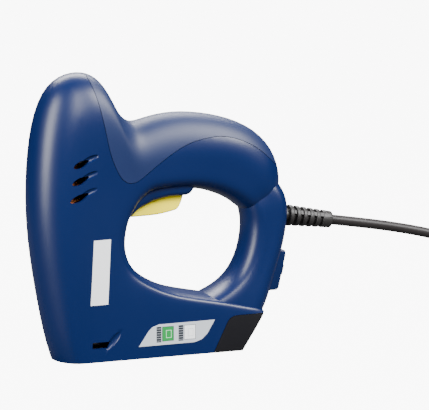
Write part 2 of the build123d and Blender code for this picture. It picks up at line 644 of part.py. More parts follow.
jacket_start, jacket_end = flange_face - boot_flange, -24.0
jacket = Pos(0, 0, (jacket_start + jacket_end) / 2) * Cylinder(cord_radius, jacket_start - jacket_end)
save(boot_axis * jacket, "cord_jacket")
clamp_middle, clamp_length = -15.0, 8.0
clamp_half, clamp_height = 8.5, 4.6
bore = Pos(0, 0, clamp_middle) * Cylinder(cord_radius + 0.02, clamp_length + 2)
clamp_screw_radius = 1.2
clamp_screws = Part()
for name, side in (("clamp_base", 1), ("clamp_saddle", -1)):
    half = Box(2 * clamp_half, clamp_height, clamp_length)
    half = Pos(0, side * (clamp_height / 2 + 0.4), clamp_middle) * half
    for y in (-6.2, 6.2):
        hole = Pos(y, 0, clamp_middle) * Rot(90, 0, 0) * Cylinder(clamp_screw_radius + 0.05, 30)
        half -= hole
    save(boot_axis * (half - bore), name)
for y in (-6.2, 6.2):
    shank = Pos(y, -1.0, clamp_middle) * Rot(90, 0, 0) * Cylinder(clamp_screw_radius, 11.6)
    head = Pos(y, -clamp_height - 0.4 - 0.9, clamp_middle) * Rot(90, 0, 0) * Cylinder(2.1, 1.7)
    clamp_screws += boot_axis * (shank + head)
save(clamp_screws, "clamp_screws")


def lead(points, radius=0.9, bend=3.0):
    """A thin insulated wire along a bent path."""
    path = FilletPolyline(*points, radius=bend)
    return sweep(Plane(origin=path @ 0, z_dir=path % 0) * Circle(radius), path)


jacket_tip = boot_axis.from_local_coords((0, 0, jacket_end - 1.9))
lead_y = 2.2
neutral = [(jacket_tip.X, lead_y, jacket_tip.Z), (jacket_tip.X - 3.6, lead_y, jacket_tip.Z + 12)]
neutral += [(place(55, 0)[0], lead_y, place(0, 117)[1]), (board_rear - 5, lead_y, place(0, 121)[1])]
neutral += [(board_rear - 5, lead_y, board_low - 8.1)]
save(lead(neutral), "neutral_lead")
case_back = switch_face.from_local_coords((0, 0, -switch_sunk - switch_depth - 0.7))
live = [(jacket_tip.X, -lead_y, jacket_tip.Z), (jacket_tip.X + 1.4, -lead_y, jacket_tip.Z - 9)]
live += [(case_back.X - 4.5, -lead_y, case_back.Z + 9), (case_back.X, -lead_y, case_back.Z)]
save(lead(live), "live_lead")
coil_lead = [(board_front - 0.2, 0, board_low + 0.8), (place(-26, 0)[0], 0, board_low + 5)]
coil_lead += [(place(-42, 0)[0], 0, frame_high + 6), (frame_back - 3, 0, frame_high + 1.0)]
save(Part() + [Pos(0, y, 0) * lead(coil_lead) for y in (-6, 6)], "coil_leads")

# ---------------------------------------------------------------- free cord, hank, tie and plug
hank_low = 1.6
hank_centre_x = 301.5
pinch = 9.0
hank_outer = hank_fold_radius + (hank_turns_across - 0.5) * cord_diameter
hank_inner = hank_fold_radius - cord_radius
hank_height = hank_layers * cord_diameter
hank_top = hank_low + hank_height


def hank_outline(half):
    """A long loop with round folds, drawn in at the middle by the tie."""
    x0, x1 = hank_centre_x - hank_run / 2, hank_centre_x + hank_run / 2
    edges = [
        ThreePointArc((x1, -half), (x1 + half, 0), (x1, half)),
        ThreePointArc((x1, half), (hank_centre_x, half - pinch), (x0, half)),
        ThreePointArc((x0, half), (x0 - half, 0), (x0, -half)),
        ThreePointArc((x0, -half), (hank_centre_x, -half + pinch), (x1, -half)),
    ]
    return make_face(edges)


hank_face = hank_outline(hank_outer) - hank_outline(hank_inner)
cord_hank = extrude(Pos(0, 0, hank_low) * hank_face, hank_height)
save(cord_hank, "cord_hank")

tie_width, tie_thickness, tie_gap = 14.0, 1.2, 0.25
tie_half = hank_outer - pinch + tie_gap + 0.2
tie_outer = Box(tie_width, 2 * (tie_half + tie_thickness), hank_height + 2 * (tie_gap + tie_thickness))
tie_outer = fillet(tie_outer.edges().filter_by(Axis.X), 1.1)
tie_inner = Box(tie_width + 2, 2 * tie_half, hank_height + 2 * tie_gap)
save(Pos(hank_centre_x, 0, hank_low + hank_height / 2) * (tie_outer - tie_inner), "hank_tie")

boot_tip = boot_axis.from_local_coords((0, 0, boot_length))
cord_route = [
    (boot_tip.X, 0, boot_tip.Z),
    (boot_tip.X + 25.4, 0, boot_tip.Z - 25.4 * math.tan(drop)),
    (176, -0.5, 73.2),
    (203, -2.5, 67.4),
    (230, -7, 59.0),
    (256, -13, 48.0),
    (281, -19.5, 36.8),
    (306, -23.5, 28.6),
    (331, -24.5, 20.5),
]
end_route = [
    (244, -21, 19.1),
    (262, -17.5, 23.4),
    (281, -10.5, 29.6),
    (300, -4, 33.6),
    (313, -1, 34.6),
    (326, 0, 34.9),
]


def cord_tube(route, name):
    """A plain tube: straight runs joined by the largest arcs that fit them."""
    spots = [Vector(*p) for p in route]
    radii = []
    for before, here, after in zip(spots, spots[1:], spots[2:]):
        turn = math.radians((here - before).get_angle(after - here))
        radii.append(0.45 * min((here - before).length, (after - here).length) / math.tan(turn / 2))
    path = FilletPolyline(*spots, radius=radii)
    tube = sweep(Plane(origin=path @ 0, z_dir=path % 0) * Circle(cord_radius), path)
    section = math.pi * cord_radius**2
    print(name, "length", round(path.length, 1), "radii", [round(r) for r in radii])
    print(name, "volume", round(tube.volume), "section x length", round(section * path.length))
    save(tube, name)


cord_tube(cord_route, "cord")
cord_tube(end_route, "cord_plug_end")

plug_stations = [(0, 5.2, 5.2), (9, 7.5, 6.6), (19, 14.5, 10.2), (28, 17.3, 11.6), (44, 17.6, 11.8)]
plug_root = Vector(*end_route[-1])
plug_faces = []
for along, half_y, half_z in plug_stations:
    spot = Plane(origin=(plug_root.X + along, 0, plug_root.Z), x_dir=(0, 1, 0), z_dir=(1, 0, 0))
    plug_faces.append(spot * Ellipse(half_y, half_z))
plug_body = loft(plug_faces)
save(plug_body, "plug_body")
plug_face_x = plug_root.X + plug_stations[-1][0]
pin_spacing, plug_pin_radius, plug_pin_length = 19.0, 2.4, 19.0
plug_pins = Part()
for y in (-pin_spacing / 2, pin_spacing / 2):
    bar = rod_x(y, plug_root.Z, plug_pin_radius, plug_face_x, plug_face_x + plug_pin_length)
    plug_pins += fillet(bar.edges().group_by(Axis.X)[-1], 1.2)
save(plug_pins, "plug_pins")
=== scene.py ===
# %% [markdown]
# # A corded electric tacker
# The tool is an upright head with a solenoid drive inside, a grip that curls back over a hand
# opening, and a flat foot that holds the staple drawer. The engineering model gives every joint
# and every inner piece. This lesson makes what a person sees: the moulded skin, the trigger, the
# end cap, the mains lead in its full length, and the finish of each piece.

# %% Load the frame
import json
import math

import bpy
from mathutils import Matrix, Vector


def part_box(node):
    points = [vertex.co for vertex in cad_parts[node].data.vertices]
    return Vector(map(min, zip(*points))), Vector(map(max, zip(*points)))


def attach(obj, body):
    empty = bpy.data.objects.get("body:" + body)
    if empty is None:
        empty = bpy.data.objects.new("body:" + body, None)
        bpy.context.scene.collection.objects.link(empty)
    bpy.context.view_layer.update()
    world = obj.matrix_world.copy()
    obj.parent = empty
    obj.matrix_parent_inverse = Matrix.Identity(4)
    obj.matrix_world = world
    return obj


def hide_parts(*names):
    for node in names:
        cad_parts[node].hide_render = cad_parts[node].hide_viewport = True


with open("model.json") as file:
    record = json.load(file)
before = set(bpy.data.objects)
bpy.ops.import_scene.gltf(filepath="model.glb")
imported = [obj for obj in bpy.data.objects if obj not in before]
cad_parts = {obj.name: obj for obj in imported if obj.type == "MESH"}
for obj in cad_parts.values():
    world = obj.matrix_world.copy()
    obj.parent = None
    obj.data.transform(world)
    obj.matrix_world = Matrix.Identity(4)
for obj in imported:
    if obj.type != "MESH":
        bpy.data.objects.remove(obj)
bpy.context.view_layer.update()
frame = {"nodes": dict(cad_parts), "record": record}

MM = 0.001
nodes = frame["nodes"]

# %% [markdown]
# ## The camera and the studio
# The tool is seen from its left side, a little from the nose and from slightly above, with a long
# lens, so upright edges stay upright. The target is a point above the middle of the foot, and the
# camera backs away from it along the viewing direction.

# %% Camera
VIEW_TURN = math.radians(-22.0)
VIEW_RISE = math.radians(8.5)
VIEW_DISTANCE = 1.5
VIEW_WIDTH = 0.2855
VIEW_TARGET = Vector((0.0425, 0.0, 0.0957))
SENSOR_WIDTH = 36.0
CLIP_END = 20


def view_direction(turn, rise):
    """The unit vector from the target to the camera."""
    level = math.cos(rise)
    return Vector((math.sin(turn) * level, -math.cos(turn) * level, math.sin(rise)))


camera_data = bpy.data.cameras.new("camera")
camera_data.sensor_width = SENSOR_WIDTH
camera_data.lens = SENSOR_WIDTH * VIEW_DISTANCE / VIEW_WIDTH
camera = bpy.data.objects.new("camera", camera_data)
bpy.context.scene.collection.objects.link(camera)
back = view_direction(VIEW_TURN, VIEW_RISE)
camera.location = VIEW_TARGET + back * VIEW_DISTANCE
camera.rotation_euler = back.to_track_quat("Z", "Y").to_euler()
camera_data.clip_end = CLIP_END
bpy.context.scene.camera = camera
print("lens", round(camera_data.lens, 1), "mm")

# %% [markdown]
# ## Helpers for modelling by operator
# Operators act on whatever is selected, and the loaded pieces start selected, so each helper
# clears the selection first. `finish_piece` leaves an object at the origin with its place in its
# mesh, which is what keeps patterns and joints in step.


# %% Selection and modifier helpers
def only(piece):
    """Makes this the one selected and active object."""
    bpy.ops.object.select_all(action="DESELECT")
    piece.select_set(True)
    bpy.context.view_layer.objects.active = piece


def named_active(name):
    """Names the object that an operator has just added, and its mesh."""
    piece = bpy.context.view_layer.objects.active
    piece.name = name
    piece.data.name = name
    return piece


def finish_piece(piece):
    """Puts the object's place into its mesh."""
    only(piece)
    bpy.ops.object.transform_apply(location=True, rotation=True, scale=True)
    return piece


def modify(piece, kind, **settings):
    """Adds one modifier and applies it."""
    only(piece)
    modifier = piece.modifiers.new(kind.lower(), kind)
    for key, value in settings.items():
        setattr(modifier, key, value)
    bpy.ops.object.modifier_apply(modifier=modifier.name)


def bevel_edges(piece, width, segments, above):
    """Rounds every edge whose faces meet at more than this angle, in degrees."""
    limit = math.radians(above)
    modify(piece, "BEVEL", width=width, segments=segments, limit_method="ANGLE", angle_limit=limit)


def smooth(piece, angle):
    """Shades the piece smooth except where faces meet at more than this angle, in degrees."""
    only(piece)
    bpy.ops.object.shade_smooth_by_angle(angle=math.radians(angle))


def combine(piece, other, operation="DIFFERENCE", keep=False):
    """One boolean with the exact solver; the other object is used up unless it is kept."""
    modify(piece, "BOOLEAN", operation=operation, object=other, solver="EXACT")
    if not keep:
        bpy.data.objects.remove(other)


def copy_of(piece, name):
    """A second object with its own mesh."""
    twin = piece.copy()
    twin.data = piece.data.copy()
    twin.name = name
    bpy.context.scene.collection.objects.link(twin)
    return twin


def block(name, low, high, bevel=0.0):
    """A box between two corners, with rounded edges if bevel is given."""
    low, high = Vector(low), Vector(high)
    bpy.ops.object.select_all(action="DESELECT")
    bpy.ops.mesh.primitive_cube_add(size=1, location=(low + high) / 2)
    piece = named_active(name)
    piece.scale = high - low
    finish_piece(piece)
    if bevel:
        modify(piece, "BEVEL", width=bevel, segments=3, limit_method="ANGLE")
    return piece


def outline_prism(name, outline, y_low, y_high, bevel=0.0):
    """A side-view outline, filled and drawn out along Y."""
    bpy.ops.object.select_all(action="DESELECT")
    bpy.ops.mesh.primitive_circle_add(vertices=len(outline), fill_type="NGON")
    piece = named_active(name)
    for vertex, (x, z) in zip(piece.data.vertices, outline):
        vertex.co = (x, y_low, z)
    bpy.ops.object.mode_set(mode="EDIT")
    bpy.ops.mesh.select_all(action="SELECT")
    bpy.ops.mesh.extrude_region_move(TRANSFORM_OT_translate={"value": (0, y_high - y_low, 0)})
    bpy.ops.mesh.select_all(action="SELECT")
    bpy.ops.mesh.normals_make_consistent(inside=False)
    bpy.ops.object.mode_set(mode="OBJECT")
    finish_piece(piece)
    if bevel:
        bevel_edges(piece, bevel, 4, above=50)
    return piece


def rounded(points, steps=6):
    """More points along a smooth curve through these (Catmull and Rom's formula)."""
    spots = [Vector(p) for p in points]
    spots = [2 * spots[0] - spots[1]] + spots + [2 * spots[-1] - spots[-2]]
    out = []
    for a, b, c, d in zip(spots, spots[1:], spots[2:], spots[3:]):
        square, cube = 2 * a - 5 * b + 4 * c - d, 3 * b - a - 3 * c + d
        for step in range(steps):
            t = step / steps
            pull = (c - a) * t + square * t**2 + cube * t**3
            out.append(b + pull / 2)
    return out + [spots[-2]]


print("helpers ready")

# %% [markdown]
# ## The moulded skin
# The housing is one long tube: it starts in the collar at the back of the grip, climbs over the
# head, runs down the nose and flattens into the foot. A second, slimmer tube is the rear column.
# Each tube is a flat grid, wrapped round a row of sections and smoothed by subdivision, so that
# the reflections run without a break. Every section goes from the wall of the hand opening to the
# outer outline, and says how wide the tube is at both ends and how far its rounding reaches.

# %% Sections of the skin, in millimetres
HEAD, GRIP, FOOT, COLUMN = 23.0, 19.0, 20.5, 16.8

ring_sections = [
    ((66, 88), (86.5, 103), GRIP - 7, GRIP - 6.5, 7, 9),
    ((57, 95.3), (89.0, 113.5), GRIP - 3, GRIP - 2.5, 10, 16),
    ((50, 100.5), (84.0, 133.4), GRIP - 2, GRIP - 1, 10, 20),
    ((38, 105.5), (66, 150.3), GRIP - 1.5, GRIP - 0.5, 10, 22),
    ((25, 108.8), (38, 158.8), GRIP - 1, GRIP, 9, 24),
    ((8, 108.5), (12, 161.2), GRIP - 0.5, GRIP, 9, 25),
    ((-7, 107), (-8, 157.4), GRIP, GRIP + 0.5, 10, 24),
    ((-12, 103), (-18.6, 153.4), GRIP + 0.5, GRIP + 1.5, 10, 23),
    ((-16, 99.5), (-29.2, 163.5), GRIP + 0.5, HEAD - 1, 10, 27),
    ((-18, 96), (-36.2, 179.5), GRIP + 0.5, HEAD - 0.5, 10, 31),
    ((-19.6, 93.4), (-43.6, 187.4), GRIP + 0.5, HEAD - 0.3, 10, 34),
    ((-21.2, 90.5), (-56.5, 189.9), GRIP + 0.5, HEAD, 10, 36),
    ((-22.6, 86), (-74, 183), GRIP + 0.5, HEAD, 10, 36),
    ((-23.5, 80), (-85, 158.5), GRIP + 0.5, HEAD, 10, 34),
    ((-23.7, 73), (-89.2, 117), GRIP + 0.5, HEAD, 10, 28),
    ((-22.2, 66), (-88.2, 80), GRIP + 0.5, HEAD - 0.3, 9, 24),
    ((-18.4, 59), (-81.5, 38), GRIP + 0.5, HEAD - 1.2, 9, 20),
    ((-13, 54), (-73.7, 0), FOOT - 0.5, FOOT, 7, 17),
    ((-6.2, 49.5), (-58, -30), FOOT - 0.3, FOOT, 6, 10),
    ((6, 43.5), (-12, -34), FOOT, FOOT, 5, 8),
    ((24, 39.6), (20, -34), FOOT, FOOT, 5, 8),
    ((42, 36.0), (42, -34), FOOT, FOOT, 4.5, 8),
    ((60, 31), (60, -34), FOOT, FOOT, 4, 8),
    ((80, 27.5), (80, -34), FOOT, FOOT, 4, 8),
]
column_sections = [
    ((58, 105), (78, 121), COLUMN - 5, COLUMN - 4, 6, 8),
    ((60.8, 92), (91.2, 105), COLUMN - 1, COLUMN - 0.5, 10, 9),
    ((62.6, 84), (93.6, 94), COLUMN - 1, COLUMN - 0.5, 11, 9),
    ((62, 75), (92.2, 77), COLUMN - 1, COLUMN - 0.5, 11, 9),
    ((59.8, 64), (88.2, 61), COLUMN - 1, COLUMN, 11, 9),
    ((55, 53.5), (81.8, 42.5), COLUMN - 0.5, COLUMN + 0.5, 11, 9),
    ((48.5, 45.8), (77, 28), COLUMN + 0.6, COLUMN + 1.6, 10, 9),
    ((40.5, 40.4), (69, 14), COLUMN + 1.6, COLUMN + 2.6, 9, 9),
    ((31, 36.6), (58, 4), COLUMN + 2.2, COLUMN + 2.8, 8, 9),
    ((24, 31), (48, -4), COLUMN + 2.0, COLUMN + 2.4, 8, 9),
]


# %% Wrapping a grid round the sections
ROUND_STEPS, FLAT_STEPS = (0, 0.25, 0.5, 0.75), (0, 0.33, 0.67)
MERGE = 1e-6


def bezier(a, b, c, d, t):
    """A point on a cubic curve."""
    s = 1 - t
    return a * s**3 + b * (3 * s * s * t) + c * (3 * s * t * t) + d * t**3


def section_loop(section, inset):
    """The closed row of points of one section, moved in by inset, in metres."""
    inner, outer, half_in, half_out, reach_in, reach_out = section
    near, far = Vector(inner), Vector(outer)
    along = (far - near).normalized()
    first, last = inset, (far - near).length - inset
    a_in, a_out = first + reach_in, last - reach_out
    w_in, w_out = half_in - inset, half_out - inset
    third = (a_out - a_in) * 0.35
    nose = [(last, 0), (last, w_out * 0.62), (a_out + reach_out * 0.45, w_out), (a_out, w_out)]
    flat = [(a_out, w_out), (a_out - third, w_out), (a_in + third, w_in), (a_in, w_in)]
    heel = [(a_in, w_in), (a_in - reach_in * 0.55, w_in), (first, w_in * 0.62), (first, 0)]
    flank = []
    for piece, steps in ((nose, ROUND_STEPS), (flat, FLAT_STEPS), (heel, ROUND_STEPS)):
        flank += [bezier(*[Vector(p) for p in piece], t) for t in steps]
    tip = bezier(*[Vector(p) for p in heel], 1.0)
    loop = [(p.x, -p.y) for p in flank] + [(tip.x, 0)] + [(p.x, p.y) for p in reversed(flank[1:])]
    out = []
    for distance, y in loop:
        spot = near + along * distance
        out.append(Vector((spot.x, y, spot.y)) * MM)
    return out


def grid_tube(name, loops, levels=2):
    """A closed tube: a grid whose rows lie on the loops, sewn up, capped and subdivided."""
    rows, columns = len(loops), len(loops[0])
    bpy.ops.object.select_all(action="DESELECT")
    bpy.ops.mesh.primitive_grid_add(x_subdivisions=columns, y_subdivisions=rows - 1, size=2)
    tube = named_active(name)
    for vertex in tube.data.vertices:
        column = round((vertex.co.x + 1) / 2 * columns) % columns
        row = round((vertex.co.y + 1) / 2 * (rows - 1))
        vertex.co = loops[row][column]
    bpy.ops.object.mode_set(mode="EDIT")
    bpy.ops.mesh.select_all(action="SELECT")
    bpy.ops.mesh.remove_doubles(threshold=MERGE)
    for loop in (loops[0], loops[-1]):
        bpy.ops.mesh.select_all(action="DESELECT")
        bpy.ops.object.mode_set(mode="OBJECT")
        for vertex in tube.data.vertices:
            vertex.select = any((vertex.co - spot).length < MERGE for spot in loop)
        bpy.ops.object.mode_set(mode="EDIT")
        bpy.ops.mesh.select_mode(type="VERT")
        bpy.ops.mesh.edge_face_add()
    bpy.ops.mesh.select_all(action="SELECT")
    bpy.ops.mesh.normals_make_consistent(inside=False)
    bpy.ops.object.mode_set(mode="OBJECT")
    modify(tube, "SUBSURF", levels=levels, render_levels=levels)
    return tube


# %% [markdown]
# The foot is trimmed flat at the sole and along a slanted heel. The same recipe with an inset gives
# the inner form, so the wall has one thickness everywhere.

# %% The whole form
HEEL_LOW, HEEL_HIGH = (54.5, 0.0), (72.4, 27.2)
WALL = 2.6
FAR = 400.0
REACH = 0.1  # how far cutters go to either side, in metres
SLAB_START, SLAB_RISE = 1.5, 6.0  # the block that ends the foot's tube behind the heel


def in_metres(points):
    """Side-view points from millimetres to metres."""
    return [(x * MM, z * MM) for x, z in points]


def foot_waste(name, inset):
    """What lies under the sole and behind the slanted heel."""
    run, rise = HEEL_HIGH[0] - HEEL_LOW[0], HEEL_HIGH[1] - HEEL_LOW[1]
    shift = inset * math.hypot(run, rise) / rise
    outline = [
        (-FAR, -FAR),
        (FAR, -FAR),
        (FAR, HEEL_HIGH[1]),
        (HEEL_HIGH[0] - shift, HEEL_HIGH[1]),
        (HEEL_LOW[0] - shift + run * inset / rise, inset),
        (-FAR, inset),
    ]
    return outline_prism(name, in_metres(outline), -REACH, REACH)


def skin_form(name, inset):
    """The whole closed outer form of the housing, moved in by inset."""
    form = grid_tube(name, [section_loop(s, inset) for s in ring_sections])
    behind = (HEEL_HIGH[0] + SLAB_START - inset) * MM
    slab_top = (HEEL_HIGH[1] + SLAB_RISE) * MM
    slab = block("slab", (behind, -REACH, -REACH), (3 * REACH, REACH, slab_top))
    combine(form, slab)
    column = grid_tube("column", [section_loop(s, inset) for s in column_sections])
    combine(form, column, "UNION")
    combine(form, foot_waste("waste", inset))
    return form


outer_form = skin_form("outer_form", 0.0)
inner_form = skin_form("inner_form", WALL)
print("outer skin faces:", len(outer_form.data.polygons))

# %% [markdown]
# ## Cheeks, switch guard and screw wells
# Under the grip two cheeks come down beside the trigger, and low on the rear column a raised block
# guards the power switch. Both are plain side outlines with rounded edges, joined to the skin.
# Wells on the right side let the screws in; their floors are posts that run across the inside.

# %% Join the guard and the cheeks
GUARD_TOP, GUARD_LOW, GUARD_HALF = (91.0, 63.5), (84.6, 36.5), 0.008
guard_outline = [(79, 64.5), GUARD_TOP, (91.3, 60.5), (86.2, 38), GUARD_LOW, (72.6, 36.5)]
guard = outline_prism("guard", in_metres(guard_outline), -GUARD_HALF, GUARD_HALF, bevel=0.0012)
combine(outer_form, guard, "UNION")

CHEEK_HALF = 0.0130
cheek_rim = [(-26, 86), (-21.6, 92), (-14.4, 98.2), (-5, 102.6), (6, 104.8)]
cheek_rim += [(18, 105.1), (21.2, 105.5), (24, 110.2)]
cheek_outline = in_metres(cheek_rim + [(24, 116), (-10, 116), (-30, 100)])
cheeks = outline_prism("cheeks", cheek_outline, -CHEEK_HALF, CHEEK_HALF, bevel=0.0045)
combine(outer_form, cheeks, "UNION")


# %% Round bars across the tool
def bar_across(name, x, z, radius, y_low, y_high, sides=40):
    """A round bar along Y, in metres."""
    bpy.ops.object.select_all(action="DESELECT")
    bpy.ops.mesh.primitive_cylinder_add(
        vertices=sides,
        radius=radius,
        depth=y_high - y_low,
        location=(x, (y_low + y_high) / 2, z),
        rotation=(math.pi / 2, 0, 0),
    )
    return finish_piece(named_active(name))


def island_boxes(piece):
    """The box of each loose part of an engineering piece, as (low, high) corners."""
    twin = copy_of(piece, "islands")
    twin.parent = None
    only(twin)
    bpy.ops.object.mode_set(mode="EDIT")
    bpy.ops.mesh.select_all(action="SELECT")
    bpy.ops.mesh.remove_doubles(threshold=MERGE)
    bpy.ops.mesh.separate(type="LOOSE")
    bpy.ops.object.mode_set(mode="OBJECT")
    boxes = []
    for part in list(bpy.context.selected_objects):
        spots = [v.co for v in part.data.vertices]
        low = Vector([min(s[i] for s in spots) for i in range(3)])
        high = Vector([max(s[i] for s in spots) for i in range(3)])
        boxes.append((low, high))
        bpy.data.objects.remove(part)
    return boxes


POST_RADIUS, POST_REACH = 0.0052, 0.03
WELL_RADIUS, WELL_END, HEAD_DEPTH = 0.0034, 0.031, 0.0024
wells = []
for low, high in island_boxes(nodes["housing_screws"]):
    x, z = (low.x + high.x) / 2, (low.z + high.z) / 2
    combine(inner_form, bar_across("post", x, z, POST_RADIUS, -POST_REACH, POST_REACH))
    wells.append((x, z, high.y - HEAD_DEPTH))
print("screw wells:", len(wells))

# %% [markdown]
# ## Openings
# The vents are leaf-shaped: a pointed oval that cuts through the wall, and a shallow scoop that
# leads the air in from the upper rear. The slot near the nose shows how many staples are left.


# %% Shapes of the cutters
LEAF_TAPER = 0.45


def leaf_outline(x, z, length, height, tilt, points=28):
    """A pointed oval: an ellipse whose rear end is drawn out to a tip."""
    out = []
    for step in range(points):
        angle = 2 * math.pi * step / points
        along = math.cos(angle) * length / 2
        across = math.sin(angle) * height / 2 * (1 - LEAF_TAPER * max(0, math.cos(angle)))
        out_x = x + along * math.cos(tilt) - across * math.sin(tilt)
        out.append((out_x, z + along * math.sin(tilt) + across * math.cos(tilt)))
    return out


def scoop(name, x, y, z, size, tilt):
    """A flattened ball that presses a shallow hollow into the skin."""
    bpy.ops.object.select_all(action="DESELECT")
    bpy.ops.mesh.primitive_uv_sphere_add(
        segments=40, ring_count=20, radius=1, location=(x, y, z), rotation=(0, -tilt, 0)
    )
    piece = named_active(name)
    piece.scale = size
    return finish_piece(piece)


# %% Cutters for the vents
VENT_TILT, VENT_HEIGHT = math.radians(22), 4.6
VENT_DEPTHS, SCOOP_DEPTH = (0.017, 0.030), 0.0231
SCOOP_LEAD, SCOOP_LENGTH, SCOOP_RISE = 0.55, 0.56, 0.6
vents = [(-57.8, 130.5, 11.5), (-58.4, 119.8, 12.5), (-59.2, 108.8, 14.0)]
cutters = []
for side in (-1, 1):
    for x, z, length in vents:
        outline = in_metres(leaf_outline(x, z, length, VENT_HEIGHT, VENT_TILT))
        y_low, y_high = sorted(side * depth for depth in VENT_DEPTHS)
        cutters.append(outline_prism("vent", outline, y_low, y_high))
        lead = length * SCOOP_LEAD
        centre_x = (x + lead * math.cos(VENT_TILT)) * MM
        centre_z = (z + lead * math.sin(VENT_TILT) + SCOOP_RISE) * MM
        size = (length * SCOOP_LENGTH * MM, 0.0024, 0.0022)
        cutters.append(scoop("scoop", centre_x, side * SCOOP_DEPTH, centre_z, size, VENT_TILT))

# %% Cutters for the staple window
WINDOW_DEPTHS = (0.016, 0.026)
WINDOW_SCOOP, WINDOW_SCOOP_SIZE = (-0.0365, 0.0213, 0.0138), (0.0085, 0.0020, 0.0028)
WINDOW_SCOOP_TILT = math.radians(48)
window_outline = [(-50.9, 9.2), (-50.1, 9.0), (-40.0, 9.0), (-38.3, 13.4), (-50.1, 13.4)]
window_outline += [(-50.9, 12.9)]
for side in (-1, 1):
    y_low, y_high = sorted(side * depth for depth in WINDOW_DEPTHS)
    cutters.append(outline_prism("window", in_metres(window_outline), y_low, y_high))
    x, y, z = WINDOW_SCOOP
    cutters.append(scoop("scoop", x, side * y, z, WINDOW_SCOOP_SIZE, WINDOW_SCOOP_TILT))
print("cutters:", len(cutters))

# %% [markdown]
# ## Splitting the skin into its mouldings
# The hollow skin is cut the way the real tool comes apart: a cover over the grip with a fine groove
# round it, a left and a right half that meet in the middle, and the end cap of the drawer.

# %% The zones of the grip cover and the end cap
COVER_FRONT, COVER_TOP = -51.3, 300
cover_line = [(COVER_FRONT, 200), (-49.8, 189), (-45.4, 170), (-41.7, 152.5), (-38, 137)]
cover_line += [(-34.4, 127.6), (-30.6, 120.8), (-26.6, 117.2), (-22.6, 116.4), (-18, 117.8)]
cover_line += [(-10, 123.4), (0, 130.6), (12, 137.8), (24, 142), (41, 143.8), (56, 140.2)]
cover_line += [(68, 134.0), (78, 126), (94, 112)]
COVER_REACH, CAP_REACH = 0.06, 0.05
GROOVE, CAP_GAP = 0.34, 0.35
CAP_FRONT_X, CAP_ROOF = 30.9, 24.2
CAP_BACK_X, CAP_BOTTOM = 120, -6
CAP_CORNER = [(43.8, 20.0), (45.6, 22.2), (48.6, 23.7), (52.2, 24.0)]


def cover_zone(name, lower):
    """The space above the cover's line, which is moved outwards by lower along its normal."""
    line = rounded(cover_line)
    outline = []
    for before, here, after in zip(line[:1] + line, line, line[1:] + line[-1:]):
        run = (after - before).normalized()
        outline.append((here.x + run.y * lower, here.y - run.x * lower))
    outline += [(COVER_TOP, COVER_TOP), (COVER_FRONT, COVER_TOP)]
    return outline_prism(name, in_metres(outline), -COVER_REACH, COVER_REACH)


def cap_zone(name, grow):
    """The space of the end cap, grown by a gap; its upper front corner is a round one."""
    shift = grow * 0.7
    outline = [(CAP_FRONT_X - grow, CAP_BOTTOM)]
    outline += [(p.x - shift, p.y + shift) for p in rounded(CAP_CORNER, 4)]
    outline += [(CAP_BACK_X, CAP_ROOF + grow), (CAP_BACK_X, CAP_BOTTOM)]
    return outline_prism(name, in_metres(outline), -CAP_REACH, CAP_REACH)


# %% Cut the mouldings apart
end_cap = copy_of(outer_form, "magazine_end_cap_moulded")
combine(end_cap, cap_zone("zone", 0), "INTERSECT")

housing = outer_form
combine(housing, inner_form, keep=True)
grip_cover = copy_of(housing, "grip_cover_moulded")
combine(grip_cover, cover_zone("zone", 0), "INTERSECT")
combine(housing, cover_zone("zone", GROOVE))
combine(housing, cap_zone("zone", CAP_GAP))
for cutter in cutters:
    combine(housing, cutter)
print("housing faces", len(housing.data.polygons))

# %% [markdown]
# The cover has a thin upright web under its roof, which reaches below the groove, so that nobody
# can look through both grooves at once.

# %% Web under the cover
WEB_HALF = 0.0006
web_outline = [(48, 137.6), (70, 127.6), (70, 143.6), (60, 149.6), (50, 152.8)]
cover_web = outline_prism("cover_web", in_metres(web_outline), -WEB_HALF, WEB_HALF)
combine(grip_cover, cover_web, "UNION")
print("cover faces", len(grip_cover.data.polygons))

# %% Room for the channel, the nose plate and the trigger
MARGIN, BELOW_SOLE, CHANNEL_EXIT = 0.0003, -0.001, 0.012
channel_low, channel_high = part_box("magazine_channel")
slot_low = (channel_low.x - MARGIN, channel_low.y - MARGIN, BELOW_SOLE)
slot_high = (channel_high.x + CHANNEL_EXIT, channel_high.y + MARGIN, channel_high.z + MARGIN)
combine(housing, block("slot", slot_low, slot_high))

plate_low, plate_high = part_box("nose_plate")
sole_low = (plate_low.x - MARGIN, plate_low.y - MARGIN, BELOW_SOLE)
sole_high = (channel_low.x, plate_high.y + MARGIN, plate_high.z + MARGIN)
combine(housing, block("slot", sole_low, sole_high))

POCKET_HALF = 0.0084
pocket_outline = [(-26, 86), (-24, 104), (-14, 111), (20.2, 113), (20.2, 100), (0, 88)]
pocket = outline_prism("pocket", in_metres(pocket_outline), -POCKET_HALF, POCKET_HALF)
combine(housing, pocket)
for x, z, level in wells:
    combine(housing, bar_across("well", x, z, WELL_RADIUS, level, WELL_END, sides=36))
print("housing faces", len(housing.data.polygons))

# %% Hole for the strain relief
BOOT_DROP = math.radians(8.6)
BOOT_HOLE_RADIUS = 0.0058
boot_root = Vector((0.0910, 0, 0.0866))
boot_axis = Vector((math.cos(BOOT_DROP), 0, -math.sin(BOOT_DROP)))


def along_boot(distance):
    """The point on the boot's axis this far from its root, in metres."""
    return boot_root + boot_axis * distance


def bar_between(name, start, end, radius, sides=40, tip_radius=None):
    """A round bar, or a cone, from one point to another."""
    start, end = Vector(start), Vector(end)
    turn = (end - start).to_track_quat("Z", "Y").to_euler()
    bpy.ops.object.select_all(action="DESELECT")
    bpy.ops.mesh.primitive_cone_add(
        vertices=sides,
        radius1=radius,
        radius2=radius if tip_radius is None else tip_radius,
        depth=(end - start).length,
        location=(start + end) / 2,
        rotation=turn,
    )
    return finish_piece(named_active(name))


